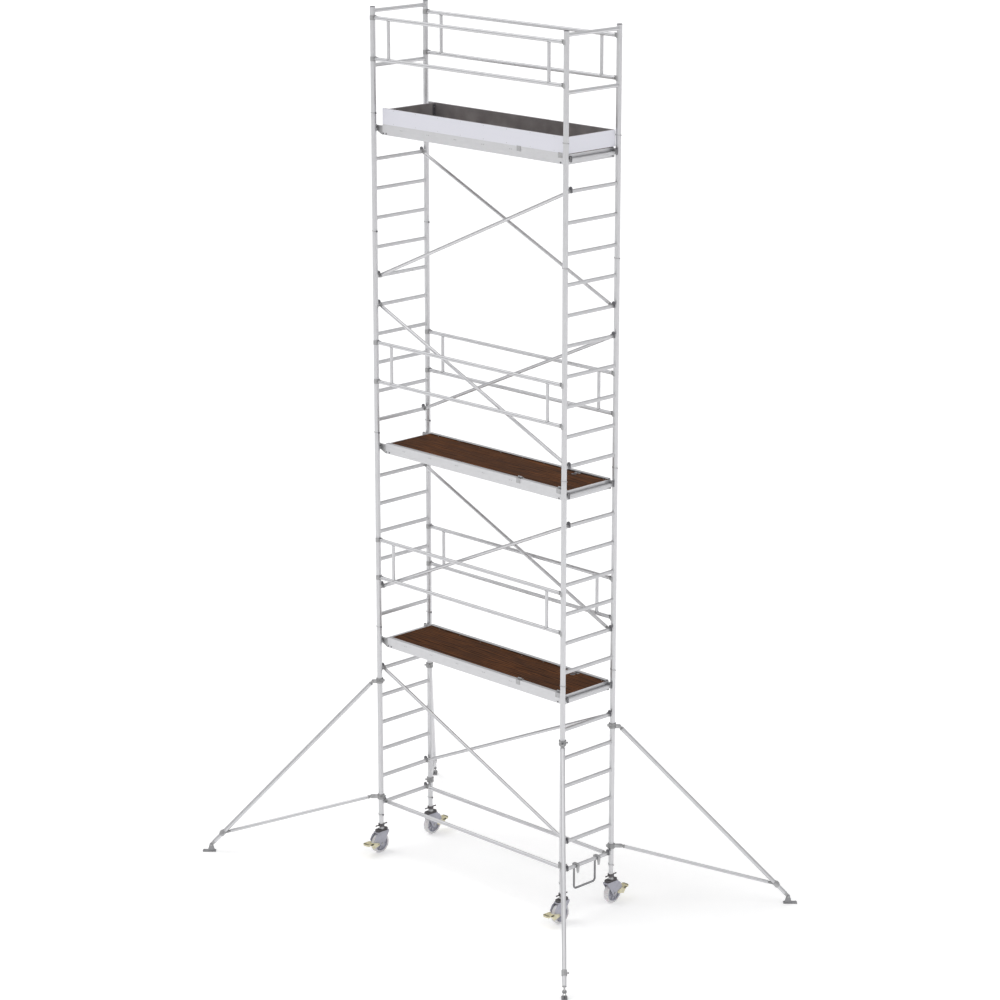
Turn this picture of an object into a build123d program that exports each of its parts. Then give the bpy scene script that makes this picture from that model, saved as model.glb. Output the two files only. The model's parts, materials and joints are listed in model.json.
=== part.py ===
from build123d import *

import os
from math import atan2, cos, degrees, hypot, radians, sin

# Mobile tower scaffold: two ladder end frames joined by diagonal braces and base struts, three
# hatch platforms, double guardrails at each platform, toe boards on top, four height-adjustable
# swivel casters and four diagonal outriggers.
# Millimetres. X runs along the long side, Y across, Z up. The origin is on the ground under the
# middle of the tower. The front is the -Y side.

# ---- tower grid ------------------------------------------------------------------------------
BAY_LENGTH = 2500.0  # between post axes along X
BAY_WIDTH = 674.0  # between post axes along Y
RUNG_PITCH = 280.0
FIRST_RUNG_Z = 520.0
FRAME_RUNGS = (7, 7, 7, 4)  # rungs of each ladder frame, from the ground up
PLATFORM_RUNGS = (6, 13, 24)  # the rung that carries each platform
GUARD_FRAME_HEIGHT = 1000.0
GUARD_RAIL_DROPS = (35.0, 540.0)  # end rails, measured down from the top of the guard frame

# ---- tubes -----------------------------------------------------------------------------------
POST_D = 50.0
POST_WALL = 2.5
RUNG_SIZE = 30.0
RUNG_WALL = 2.0
RUNG_EDGE = 4.0
END_RAIL_D = 36.0
RAIL_D = 35.0
BRACE_D = 32.0
STRUT_D = 38.0
TUBE_WALL = 2.0
WELD_GAP = 0.1  # coped tube end to the tube it is welded to
FIT_GAP = 0.3  # between parts that slide together by hand
RUNNING_GAP = 0.05  # radial play of a pin or a turning clamp
SPIGOT_WALL = 2.0
SPIGOT_LENGTH = 300.0
CAP_HEIGHT = 6.0
CAP_PLUG = 20.0

# ---- locking pins ----------------------------------------------------------------------------
PIN_D = 8.0
PIN_RISE = 15.0  # pin axis above the joint of two posts
PIN_HEAD_D = 16.0
PIN_HEAD = 9.0
PIN_TAIL = 14.0  # how far the pin stands out on the far side

# ---- braces and struts -----------------------------------------------------------------------
BRACE_INSET = 52.0  # brace axis to post axis, across the tower
BRACE_FRONT = ((5, 1), (8, 12), (18, 14), (19, 23))  # left rung, right rung
BRACE_BACK = ((1, 5), (12, 8), (14, 18), (23, 19))
HOOK_WIDTH = 26.0
HOOK_WALL = 9.0
HOOK_TO_TUBE = 46.0  # rung axis to the end of the tube
PLUG_DEPTH = 40.0
STRUT_INSET = 56.0

# ---- guardrails ------------------------------------------------------------------------------
GUARD_RISES = (661.0, 1042.0)  # rail axes above the platform's rung
GUARD_POST_INSET = 214.0  # post axis to the upright between the two rails
CLAW_WALL = 6.0
CLAW_HEIGHT = 42.0
CLAW_HALF_ANGLE = 100.0
CLAW_TO_TUBE = 44.0  # post axis to the end of the rail

# ---- platforms -------------------------------------------------------------------------------
PLATFORM_INSETS = (85.0, 25.0)  # left and right rung axes to the ends
PLATFORM_WIDTH = 610.0
SIDE_HEIGHT = 100.0
SIDE_BASE = 44.0  # underside of the side rail below the rung axis
SIDE_WALL = 3.0
SIDE_FLANGE = 20.0
LIP = 38.0  # top flange over the edge of the deck
LEDGE = 55.0
DECK_THICK = 12.0
DECK_GAP = 0.5
DECK_DROP = 6.0  # deck surface below the underside of the lip
MEMBER_WIDTH = 40.0
MEMBER_HEIGHT = 25.0
MEMBER_COUNT = 5  # cross members, the last beside the hatch
MEMBER_PITCH = 360.0
DECK_BEARING = 8.0  # last member to the edge of the hatchway
HATCH_INSET = 57.0  # right end of the platform to the hatch
HATCH_LENGTH = 608.0
HATCH_SIDE_GAP = 2.0
HATCH_HINGES = (20.0, 536.0)  # hinge middles from the right end of the hatch
HINGE_LENGTH = 50.0
HINGE_DROP = 45.0  # leaf down the outside of the side rail
HINGE_PIN_D = 8.0
HINGE_LEAF = 3.0
HINGE_KNUCKLE_D = 14.0
PLATFORM_CLAW_WIDTH = 22.0
PLATFORM_CLAW_RISE = 38.0  # top of a claw above the rung axis

# ---- toe boards ------------------------------------------------------------------------------
TOE_RISE = 206.0  # top of the boards above the rung axis
TOE_THICK = 20.0
TOE_END_INSETS = (170.0, 18.0)  # left and right rung axes to the middles of the end boards

# ---- step bracket ----------------------------------------------------------------------------
STEP_LEG_Y = 142.5
STEP_BAR_D = 20.0
STEP_BOTTOM_Z = 278.0
STEP_BEND = 30.0
STEP_LEG_X = -28.0  # from the rung axis, towards the bay
STEP_HOOK_WIDTH = 30.0
STEP_TAIL_Z = 450.0

# ---- casters ---------------------------------------------------------------------------------
WHEEL_D = 200.0
WHEEL_WIDTH = 50.0
WHEEL_TRAIL = 22.0
AXLE_D = 16.0
CHEEK_GAP = 4.0
CHEEK = 5.0
BRIDGE_Z = 210.0
BRIDGE = 12.0
HEAD_HEIGHT = 22.0
HEAD_LENGTH = 150.0
HEAD_WIDTH = 62.0
KINGPIN_D = 20.0
SPINDLE_GAP = 0.7  # spindle to the inside of its sleeve
SPINDLE_WALL = 5.0
SPINDLE_LENGTH = 420.0
FLANGE_D = 58.0
FLANGE = 8.0
NUT_D = 62.0
NUT_HEIGHT = 28.0
NUT_SPAN = 150.0
NUT_HANDLE = 14.0
SLEEVE_DROP = 80.0  # sleeve below the lowest frame
SLEEVE_INSERT = 150.0
SLEEVE_WALL = 2.5
PEDAL_PIVOT = (52.0, 108.0)  # outward from the wheel axle, height above the ground
PEDAL_PIN_D = 10.0
PEDAL_ARM = 6.0
PEDAL_INNER = 118.0
PEDAL_REACH = 200.0
PEDAL_Z = (70.0, 136.0)
PEDAL_THICK = 20.0
CHEEK_NOSE = (104.0, 150.0)  # outward from the wheel axle, height above the ground

# ---- outriggers ------------------------------------------------------------------------------
ARM_D = 40.0
ARM_STRUT_D = 34.0
ARM_AZIMUTH = 45.0
CLAMP_UPPER_Z = 1800.0
CLAMP_LOWER_Z = 585.0
CLAMP_HEIGHT = 50.0
CLAMP_OUTER_D = 70.0
ARM_PIVOT_R = 68.0
STRUT_PIVOT_R = 95.0
KNUCKLE_D = 32.0
KNUCKLE_WIDTH = 26.0
COUPLER_R = 1580.0
COUPLER_WALL = 6.0
COUPLER_LENGTH = 56.0
COUPLER_REAM = 84.0  # half of the bore, past the stem that leaves the coupler at a slant
FOOT_R = 1700.0
FOOT_PIVOT_Z = 68.0
FOOT_PIN_D = 12.0
FOOT_LENGTH = 133.0
FOOT_INNER = 48.0  # foot plate inwards of its pivot
FOOT_WIDTH = 55.0
FOOT_PLATE = 12.0
FOOT_EAR = 6.0
FOOT_EAR_R = 17.0
TONGUE = 16.0
TONGUE_LENGTH = 46.0

POST_X = BAY_LENGTH / 2
POST_Y = BAY_WIDTH / 2
POST_R = POST_D / 2
GUARD_POST_X = POST_X - GUARD_POST_INSET
PLATFORM_X = (PLATFORM_INSETS[0] - POST_X, POST_X - PLATFORM_INSETS[1])
HATCH_X = (PLATFORM_X[1] - HATCH_INSET - HATCH_LENGTH, PLATFORM_X[1] - HATCH_INSET)
HATCH_HINGES_X = [HATCH_X[1] - inset for inset in HATCH_HINGES]
HOOK_Y = (PLATFORM_WIDTH - PLATFORM_CLAW_WIDTH) / 2
TOE_END_X = (TOE_END_INSETS[0] - POST_X, POST_X - TOE_END_INSETS[1])
SPIGOT_D = POST_D - 2 * POST_WALL - 2 * FIT_GAP
SPINDLE_D = SPIGOT_D - 2 * SLEEVE_WALL - 2 * SPINDLE_GAP
SLOT_HALF = RUNG_SIZE / 2 + FIT_GAP
FRAME_BASE_Z = FIRST_RUNG_Z - RUNG_PITCH / 2
LADDER_TOP_Z = FRAME_BASE_Z + RUNG_PITCH * sum(FRAME_RUNGS)
TOWER_TOP_Z = LADDER_TOP_Z + GUARD_FRAME_HEIGHT
CORNERS = {
    "front_left": (-1, -1),
    "front_right": (1, -1),
    "back_left": (-1, 1),
    "back_right": (1, 1),
}


def rung_z(index):
    """Height of a rung's axis, counted from the lowest."""
    return FIRST_RUNG_Z + RUNG_PITCH * index


def round_bar(start, end, diameter):
    """A solid round bar from one point to another."""
    run = Vector(*end) - Vector(*start)
    place = Plane(origin=start, z_dir=run)
    return place * Cylinder(diameter / 2, run.length, align=(Align.CENTER, Align.CENTER, Align.MIN))


def round_tube(start, end, diameter, wall):
    """A round tube from one point to another, open at both ends."""
    return round_bar(start, end, diameter) - round_bar(start, end, diameter - 2 * wall)


def along(start, end, distance):
    """The point a distance from start on the way to end."""
    run = Vector(*end) - Vector(*start)
    return tuple(Vector(*start) + run.normalized() * distance)


def block(low, high):
    """A box between two opposite corners."""
    size = [b - a for a, b in zip(low, high)]
    return Pos(*low) * Box(*size, align=(Align.MIN, Align.MIN, Align.MIN))


def profile_y(points, centre_y, width):
    """A closed outline in X and Z, given a width across Y."""
    face = make_face(Polyline(*[(x, 0, z) for x, z in points], close=True))
    return Pos(0, centre_y + width / 2, 0) * extrude(face, width, dir=(0, -1, 0))


def profile_x(points, low_x, high_x):
    """A closed outline in Y and Z, run along X."""
    face = make_face(Polyline(*[(0, y, z) for y, z in points], close=True))
    return Pos(low_x, 0, 0) * extrude(face, high_x - low_x, dir=(1, 0, 0))


def save(name, *pieces):
    """Writes one node as its separate solids."""
    solids = [solid for piece in pieces for solid in piece.solids()]
    export_step(Compound(children=solids), f"parts/{name}.step")


# ---- ladder and guard frames -----------------------------------------------------------------
def cope(piece, x):
    """Cuts the ends of a cross tube to the two posts that it is welded to."""
    for side in (-1, 1):
        start = (x, side * POST_Y, 0)
        end = (x, side * POST_Y, TOWER_TOP_Z)
        piece = piece - round_bar(start, end, POST_D + 2 * WELD_GAP)
    return piece


def make_rung():
    """One square ladder rung about the origin, coped at both ends."""
    outer = RectangleRounded(RUNG_SIZE, RUNG_SIZE, RUNG_EDGE)
    bore = RUNG_SIZE - 2 * RUNG_WALL
    inner = RectangleRounded(bore, bore, RUNG_EDGE - RUNG_WALL)
    section = Plane.XZ * (outer - inner)
    rung = extrude(section, BAY_WIDTH / 2, both=True)
    return cope(Pos(0, 0, TOWER_TOP_Z / 2) * rung, 0).moved(Pos(0, 0, -TOWER_TOP_Z / 2))


def make_end_rail():
    """One round end rail of the guard frame about the origin, coped at both ends."""
    half = TOWER_TOP_Z / 2
    rail = round_tube((0, -POST_Y, half), (0, POST_Y, half), END_RAIL_D, TUBE_WALL)
    return cope(rail, 0).moved(Pos(0, 0, -half))


def make_post(low, high, pin_heights):
    """A post about the Z axis, drilled along X for its locking pins."""
    post = round_tube((0, 0, low), (0, 0, high), POST_D, POST_WALL)
    for z in pin_heights:
        post = post - round_bar((-POST_D, 0, z), (POST_D, 0, z), PIN_D + 2 * FIT_GAP)
    return post


def make_insert(low, high, diameter, wall, pin_z):
    """A spigot or sleeve about the Z axis, drilled along X for its pin."""
    tube = round_tube((0, 0, low), (0, 0, high), diameter, wall)
    return tube - round_bar((-POST_D, 0, pin_z), (POST_D, 0, pin_z), PIN_D + 2 * FIT_GAP)


def build_frames():
    rung = make_rung()
    end_rail = make_end_rail()
    low = FRAME_BASE_Z
    first = 0
    for level, count in enumerate(FRAME_RUNGS, start=1):
        high = low + RUNG_PITCH * count
        post = make_post(low, high, [low + PIN_RISE])
        spigot = make_insert(high - SPIGOT_LENGTH / 2, high + SPIGOT_LENGTH / 2, SPIGOT_D,
                             SPIGOT_WALL, high + PIN_RISE)
        for side, x in (("left", -POST_X), ("right", POST_X)):
            pieces = [Pos(x, 0, rung_z(first + index)) * rung for index in range(count)]
            for y in (-POST_Y, POST_Y):
                pieces += [Pos(x, y, 0) * post, Pos(x, y, 0) * spigot]
            save(f"frame_{side}_{level}", *pieces)
        low = high
        first += count
    post = make_post(LADDER_TOP_Z, TOWER_TOP_Z, [LADDER_TOP_Z + PIN_RISE])
    for side, x in (("left", -POST_X), ("right", POST_X)):
        pieces = [Pos(x, 0, TOWER_TOP_Z - drop) * end_rail for drop in GUARD_RAIL_DROPS]
        pieces += [Pos(x, y, 0) * post for y in (-POST_Y, POST_Y)]
        save(f"guard_frame_{side}", *pieces)


def build_post_caps():
    """A plastic cap on each post top, with a plug down the bore."""
    plug_d = POST_D - 2 * POST_WALL - 2 * FIT_GAP
    cap = Pos(0, 0, TOWER_TOP_Z + CAP_HEIGHT / 2) * Cylinder(POST_R, CAP_HEIGHT)
    cap = fillet(cap.edges().group_by(Axis.Z)[-1], CAP_HEIGHT / 2)
    cap += Pos(0, 0, TOWER_TOP_Z - CAP_PLUG / 2) * Cylinder(plug_d / 2, CAP_PLUG)
    save("post_caps", *[Pos(sx * POST_X, sy * POST_Y, 0) * cap for sx, sy in CORNERS.values()])


def build_locking_pins():
    """A headed pin through every post joint, its head towards the bay. The lowest pins only
    reach through the post and the sleeve, so that the spindle stays free."""
    joints = [FRAME_BASE_Z]
    for count in FRAME_RUNGS:
        joints.append(joints[-1] + RUNG_PITCH * count)
    head_start = -POST_R - FIT_GAP
    pin = round_bar((head_start, 0, 0), (POST_R + PIN_TAIL, 0, 0), PIN_D)
    pin += round_bar((head_start - PIN_HEAD, 0, 0), (head_start, 0, 0), PIN_HEAD_D)
    bore = SPIGOT_D - 2 * SLEEVE_WALL
    short_pin = pin - round_bar((0, 0, -POST_D), (0, 0, POST_D), bore)
    pins = []
    for sx, sy in CORNERS.values():
        place = Pos(sx * POST_X, sy * POST_Y, PIN_RISE) * Rot(0, 0, 0 if sx > 0 else 180)
        for z in joints:
            pins.append(Pos(0, 0, z) * place * (short_pin if z == FRAME_BASE_Z else pin))
    save("locking_pins", *pins)


def build_sleeves():
    """The sleeve of each caster, up inside the lowest post and showing below it."""
    sleeve = make_insert(FRAME_BASE_Z - SLEEVE_DROP, FRAME_BASE_Z + SLEEVE_INSERT, SPIGOT_D,
                         SLEEVE_WALL, FRAME_BASE_Z + PIN_RISE)
    save("caster_sleeves",
         *[Pos(sx * POST_X, sy * POST_Y, 0) * sleeve for sx, sy in CORNERS.values()])


# ---- braces and struts -----------------------------------------------------------------------
def brace(left_z, right_z, y, diameter):
    """A tube with a claw on each end, hooked over a rung of each end frame."""
    left = (-POST_X, y, left_z)
    right = (POST_X, y, right_z)
    bore = diameter - 2 * TUBE_WALL - 2 * WELD_GAP
    pieces = [round_tube(along(left, right, HOOK_TO_TUBE), along(right, left, HOOK_TO_TUBE),
                         diameter, TUBE_WALL)]
    reach = SLOT_HALF + HOOK_WALL
    for near, far in ((left, right), (right, left)):
        x, _, z = near
        low = (x - reach, y - HOOK_WIDTH / 2, z - RUNG_SIZE / 2)
        high = (x + reach, y + HOOK_WIDTH / 2, z + reach)
        claw = block(low, high)
        claw += round_bar(along(near, far, SLOT_HALF), along(near, far, HOOK_TO_TUBE), HOOK_WIDTH)
        claw += round_bar(along(near, far, SLOT_HALF),
                          along(near, far, HOOK_TO_TUBE + PLUG_DEPTH), bore)
        slot_low = (x - SLOT_HALF, y - HOOK_WIDTH, z - reach)
        slot_high = (x + SLOT_HALF, y + HOOK_WIDTH, z + RUNG_SIZE / 2 + WELD_GAP)
        pieces.append(claw - block(slot_low, slot_high))
    return pieces


def build_braces():
    y = POST_Y - BRACE_INSET
    front = [brace(rung_z(a), rung_z(b), -y, BRACE_D) for a, b in BRACE_FRONT]
    back = [brace(rung_z(a), rung_z(b), y, BRACE_D) for a, b in BRACE_BACK]
    save("braces_front", *sum(front, []))
    save("braces_back", *sum(back, []))
    strut_y = POST_Y - STRUT_INSET
    struts = [brace(rung_z(0), rung_z(0), side * strut_y, STRUT_D) for side in (-1, 1)]
    save("base_struts", *sum(struts, []))


# ---- guardrails ------------------------------------------------------------------------------
def rail_claw(bore):
    """The half-round claw of a rail's left end, about the post axis."""
    inner = POST_R + FIT_GAP
    outer = inner + CLAW_WALL
    half = CLAW_HEIGHT / 2
    claw = round_bar((0, 0, -half), (0, 0, half), 2 * outer)
    claw -= round_bar((0, 0, -half), (0, 0, half), 2 * inner)
    mouth = outer * cos(radians(CLAW_HALF_ANGLE))
    claw -= block((-2 * outer, -2 * outer, -half), (mouth, 2 * outer, half))
    neck = round_bar((inner, 0, 0), (CLAW_TO_TUBE, 0, 0), RAIL_D - 2 * TUBE_WALL)
    neck += round_bar((inner, 0, 0), (CLAW_TO_TUBE + PLUG_DEPTH, 0, 0), bore)
    neck -= round_bar((0, 0, -half), (0, 0, half), 2 * inner)
    return claw + neck


def guardrail(low_z, high_z, y):
    """Two rails and two uprights, with a claw on each rail end."""
    bore = RAIL_D - 2 * TUBE_WALL - 2 * WELD_GAP
    left_claw = rail_claw(bore)
    right_claw = Rot(0, 0, 180) * left_claw
    end = POST_X - CLAW_TO_TUBE
    pieces = []
    for z in (low_z, high_z):
        pieces.append(round_tube((-end, y, z), (end, y, z), RAIL_D, TUBE_WALL))
        pieces += [Pos(-POST_X, y, z) * left_claw, Pos(POST_X, y, z) * right_claw]
    cutter_d = RAIL_D + 2 * WELD_GAP
    for x in (-GUARD_POST_X, GUARD_POST_X):
        upright = round_tube((x, y, low_z), (x, y, high_z), RAIL_D - 2 * TUBE_WALL, TUBE_WALL)
        for z in (low_z, high_z):
            upright -= round_bar((x - RAIL_D, y, z), (x + RAIL_D, y, z), cutter_d)
        pieces.append(upright)
    return pieces


def build_guardrails():
    for level, index in enumerate(PLATFORM_RUNGS, start=1):
        low, high = [rung_z(index) + rise for rise in GUARD_RISES]
        save(f"guardrails_{level}", *guardrail(low, high, -POST_Y), *guardrail(low, high, POST_Y))


# ---- platforms -------------------------------------------------------------------------------
def side_outline(sign, z):
    """Section of a platform side rail: web, bottom flange, deck ledge and top lip."""
    out = PLATFORM_WIDTH / 2
    web = out - SIDE_WALL
    low = z - SIDE_BASE
    top = low + SIDE_HEIGHT
    ledge, _ = deck_levels(z)
    outline = [
        (out, low), (out, top), (out - LIP, top), (out - LIP, top - SIDE_WALL),
        (web, top - SIDE_WALL), (web, ledge), (out - LEDGE, ledge),
        (out - LEDGE, ledge - SIDE_WALL), (web, ledge - SIDE_WALL), (web, low + SIDE_WALL),
        (out - SIDE_FLANGE, low + SIDE_WALL), (out - SIDE_FLANGE, low),
    ]
    return [(sign * y, height) for y, height in outline]


def deck_levels(z):
    """Underside and top of the deck of the platform on the rung at z."""
    top = z - SIDE_BASE + SIDE_HEIGHT - SIDE_WALL - DECK_DROP
    return top - DECK_THICK, top


def platform_frame(z):
    """Two side rails between two end plates, and the cross members under the deck."""
    out = PLATFORM_WIDTH / 2
    web = out - SIDE_WALL
    low = z - SIDE_BASE
    deck_low, deck_top = deck_levels(z)
    left, right = PLATFORM_X[0] + SIDE_WALL, PLATFORM_X[1] - SIDE_WALL
    inner_y = out - LEDGE
    pieces = [profile_x(side_outline(sign, z), left, right) for sign in (-1, 1)]
    for sign, inside in ((-1, left), (1, right)):
        plate = sorted((inside, inside + sign * SIDE_WALL))
        seat = sorted((inside, inside - sign * SIDE_FLANGE))
        end = block((plate[0], -out, low), (plate[1], out, deck_top))
        end += block((seat[0], -inner_y, deck_low - SIDE_WALL), (seat[1], inner_y, deck_low))
        pieces.append(end)
    high = deck_low - SIDE_WALL
    base = high - MEMBER_HEIGHT
    last = HATCH_X[0] - HATCH_SIDE_GAP - DECK_BEARING - MEMBER_WIDTH / 2
    for index in range(MEMBER_COUNT):
        middle = last - index * MEMBER_PITCH
        near, far = middle - MEMBER_WIDTH / 2, middle + MEMBER_WIDTH / 2
        member = block((near, -web, base), (far, web, high))
        member -= block((near + TUBE_WALL, -web, base + TUBE_WALL),
                        (far - TUBE_WALL, web, high - TUBE_WALL))
        pieces.append(member)
    return pieces


def deck(z):
    """The fixed plywood, one wide sheet up to the hatch and a strip past its far end."""
    low, top = deck_levels(z)
    half_y = PLATFORM_WIDTH / 2 - SIDE_WALL - DECK_GAP
    start = HATCH_X[0] - HATCH_SIDE_GAP
    end = HATCH_X[1] + HATCH_SIDE_GAP
    left = PLATFORM_X[0] + SIDE_WALL + DECK_GAP
    right = PLATFORM_X[1] - SIDE_WALL - DECK_GAP
    return [block((left, -half_y, low), (start, half_y, top)),
            block((end, -half_y, low), (right, half_y, top))]


def hinge_axis(z):
    """Y and Z of the hatch's hinge pin, above the front side rail and inside a toe board on it."""
    top = z - SIDE_BASE + SIDE_HEIGHT
    y = -PLATFORM_WIDTH / 2 + TOE_THICK + (LIP - TOE_THICK) / 2
    return y, top + HINGE_KNUCKLE_D / 2 + HINGE_LEAF


def hatch(z):
    """The hinged plywood panel with the moving leaf of each hinge."""
    low, top = deck_levels(z)
    half_y = PLATFORM_WIDTH / 2 - LIP - HATCH_SIDE_GAP
    panel = block((HATCH_X[0], -half_y, low + FIT_GAP), (HATCH_X[1], half_y, top))
    axis_y, axis_z = hinge_axis(z)
    knee_y = -half_y + 2 * HINGE_LEAF
    pieces = [panel]
    for x in HATCH_HINGES_X:
        near, far = x - HINGE_LENGTH / 6, x + HINGE_LENGTH / 6
        leaf = round_bar((near, axis_y, axis_z), (far, axis_y, axis_z), HINGE_KNUCKLE_D)
        leaf += block((near, axis_y, axis_z - HINGE_LEAF / 2), (far, knee_y, axis_z + HINGE_LEAF / 2))
        leaf += block((near, knee_y - HINGE_LEAF, top), (far, knee_y, axis_z + HINGE_LEAF / 2))
        leaf += block((near, knee_y - HINGE_LEAF, top), (far, knee_y + HINGE_LENGTH, top + HINGE_LEAF))
        bore = HINGE_PIN_D + 2 * RUNNING_GAP
        leaf -= round_bar((near, axis_y, axis_z), (far, axis_y, axis_z), bore)
        pieces.append(leaf)
    return pieces


def fixed_hinges(z):
    """Fixed leaf and pin of each hatch hinge, over the top and outside of the front side rail."""
    axis_y, axis_z = hinge_axis(z)
    top = z - SIDE_BASE + SIDE_HEIGHT
    out = -PLATFORM_WIDTH / 2
    radius = HINGE_KNUCKLE_D / 2
    gap = HINGE_LENGTH / 6 + FIT_GAP
    pieces = []
    for x in HATCH_HINGES_X:
        near, far = x - HINGE_LENGTH / 2, x + HINGE_LENGTH / 2
        leaf = round_bar((near, axis_y, axis_z), (far, axis_y, axis_z), HINGE_KNUCKLE_D)
        leaf += block((near, axis_y - radius, top), (far, axis_y + radius, axis_z))
        leaf -= block((x - gap, axis_y - radius, top + HINGE_LEAF - FIT_GAP),
                      (x + gap, axis_y + radius, axis_z + radius))
        leaf += block((near, out - HINGE_LEAF, top), (far, axis_y, top + HINGE_LEAF - FIT_GAP))
        leaf += block((near, out - HINGE_LEAF, top - HINGE_DROP), (far, out, top))
        leaf += round_bar((near, axis_y, axis_z), (far, axis_y, axis_z), HINGE_PIN_D)
        pieces.append(leaf)
    return pieces


def platform_claws(z):
    """Four cast claws that hook the ends of a platform over its two rungs."""
    low = z - SIDE_BASE
    top = z + PLATFORM_CLAW_RISE
    seat = z + RUNG_SIZE / 2 + WELD_GAP
    outer = POST_X + SLOT_HALF + HOOK_WALL
    pieces = []
    for sx, end in ((-1, -PLATFORM_X[0]), (1, PLATFORM_X[1])):
        outline = [
            (end, low), (end + HOOK_WALL, low), (POST_X - SLOT_HALF, z - SLOT_HALF),
            (POST_X - SLOT_HALF, seat), (POST_X + SLOT_HALF, seat),
            (POST_X + SLOT_HALF, z - SLOT_HALF / 2), (outer, z - SLOT_HALF / 2),
            (outer, top - HOOK_WALL), (outer - HOOK_WALL, top), (end, top),
        ]
        for y in (-HOOK_Y, HOOK_Y):
            pieces.append(profile_y([(sx * x, height) for x, height in outline], y,
                                    PLATFORM_CLAW_WIDTH))
    return pieces


def build_platforms():
    claws = []
    hinges = []
    for level, index in enumerate(PLATFORM_RUNGS, start=1):
        z = rung_z(index)
        save(f"platform_frame_{level}", *platform_frame(z))
        save(f"deck_{level}", *deck(z))
        save(f"hatch_{level}", *hatch(z))
        claws += platform_claws(z)
        hinges += fixed_hinges(z)
    save("platform_claws", *claws)
    save("hatch_hinges", *hinges)


def build_toe_boards():
    """Boards on edge round the top deck: two on the side rails and two across the deck."""
    z = rung_z(PLATFORM_RUNGS[-1])
    low = z - SIDE_BASE + SIDE_HEIGHT
    high = z + TOE_RISE
    left = PLATFORM_X[0] + SIDE_WALL
    right = TOE_END_X[1] - TOE_THICK / 2
    out = PLATFORM_WIDTH / 2
    inner = out - TOE_THICK
    front = block((left, -out, low), (right, -inner, high))
    for x in HATCH_HINGES_X:
        reach = HINGE_LENGTH / 2 + FIT_GAP
        front -= block((x - reach, -out, low), (x + reach, -inner, low + HINGE_LEAF))
    pieces = [front, block((left, inner, low), (right, out, high))]
    for x, reach in zip(TOE_END_X, (inner, out)):
        pieces.append(block((x - TOE_THICK / 2, -reach, low + WELD_GAP),
                            (x + TOE_THICK / 2, reach, high)))
    save("toe_boards", *pieces)


def build_step_bracket():
    """A bent bar step that hangs on the lowest rung of the right end frame by two hooks."""
    z = rung_z(0)
    leg_x = POST_X + STEP_LEG_X
    hook_low = z - RUNG_SIZE / 2 - FIT_GAP
    half_leg = STEP_BAR_D / 2 + 4 * FIT_GAP
    path = FilletPolyline((leg_x, -STEP_LEG_Y, hook_low), (leg_x, -STEP_LEG_Y, STEP_BOTTOM_Z),
                          (leg_x, STEP_LEG_Y, STEP_BOTTOM_Z), (leg_x, STEP_LEG_Y, hook_low),
                          radius=STEP_BEND)
    section = Plane(origin=path @ 0, z_dir=path % 0) * Circle(STEP_BAR_D / 2)
    pieces = [sweep(section, path)]
    seat = z + RUNG_SIZE / 2 + WELD_GAP
    top = seat + HOOK_WALL
    tail = POST_X + SLOT_HALF
    outline = [
        (leg_x - half_leg, hook_low), (leg_x - half_leg, top), (tail + 2 * HOOK_WALL, top),
        (tail + 2 * HOOK_WALL, STEP_TAIL_Z), (tail + HOOK_WALL, STEP_TAIL_Z),
        (tail, hook_low), (tail, seat), (POST_X - SLOT_HALF, seat), (POST_X - SLOT_HALF, hook_low),
    ]
    for y in (-STEP_LEG_Y, STEP_LEG_Y):
        pieces.append(profile_y(outline, y, STEP_HOOK_WIDTH))
    save("step_bracket", *pieces)


# ---- casters, each made about its post axis with the pedal towards +Y --------------------------
HEAD_Z = BRIDGE_Z + BRIDGE
HEAD_TOP_Z = HEAD_Z + HEAD_HEIGHT
FLANGE_Z = HEAD_TOP_Z + FIT_GAP
SLEEVE_Z = FRAME_BASE_Z - SLEEVE_DROP
AXLE_Z = WHEEL_D / 2
CHEEK_X = WHEEL_WIDTH / 2 + CHEEK_GAP


def caster_spindle():
    """Threaded tube with its foot flange and the kingpin that the fork turns on."""
    spindle_z = FLANGE_Z + FLANGE
    spindle = round_tube((0, 0, spindle_z), (0, 0, spindle_z + SPINDLE_LENGTH), SPINDLE_D,
                         SPINDLE_WALL)
    spindle += round_bar((0, 0, FLANGE_Z), (0, 0, spindle_z), FLANGE_D)
    return spindle + round_bar((0, 0, HEAD_Z + FIT_GAP), (0, 0, FLANGE_Z), KINGPIN_D)


def caster_nut():
    """Height nut with two handles, under the sleeve that stands on it."""
    top = SLEEVE_Z - FIT_GAP
    nut = round_bar((0, 0, top - NUT_HEIGHT), (0, 0, top), NUT_D)
    half = NUT_HANDLE / 2
    middle = top - NUT_HEIGHT / 2
    nut += block((-half, -NUT_SPAN / 2, middle - half), (half, NUT_SPAN / 2, middle + half))
    return nut - round_bar((0, 0, 0), (0, 0, top), SPINDLE_D + 2 * FIT_GAP)


def cheek_outline():
    """Fork cheek in Y and Z: wide under the bridge, round about the axle."""
    radius = AXLE_D * 1.6
    top_half = HEAD_LENGTH / 2
    lean = (WHEEL_TRAIL, AXLE_Z)
    points = [(-top_half, BRIDGE_Z), (top_half, BRIDGE_Z), (top_half + WHEEL_TRAIL, BRIDGE_Z - BRIDGE)]
    pivot_y = WHEEL_TRAIL + PEDAL_PIVOT[0]
    points.append((WHEEL_TRAIL + CHEEK_NOSE[0], CHEEK_NOSE[1]))
    points.append((pivot_y + PEDAL_PIN_D * 1.5, PEDAL_PIVOT[1] - PEDAL_PIN_D))
    points.append((lean[0] + radius, lean[1] - radius / 2))
    points.append((lean[0] + radius / 2, lean[1] - radius))
    points.append((lean[0] - radius / 2, lean[1] - radius))
    points.append((lean[0] - radius, lean[1] - radius / 2))
    return points


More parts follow.
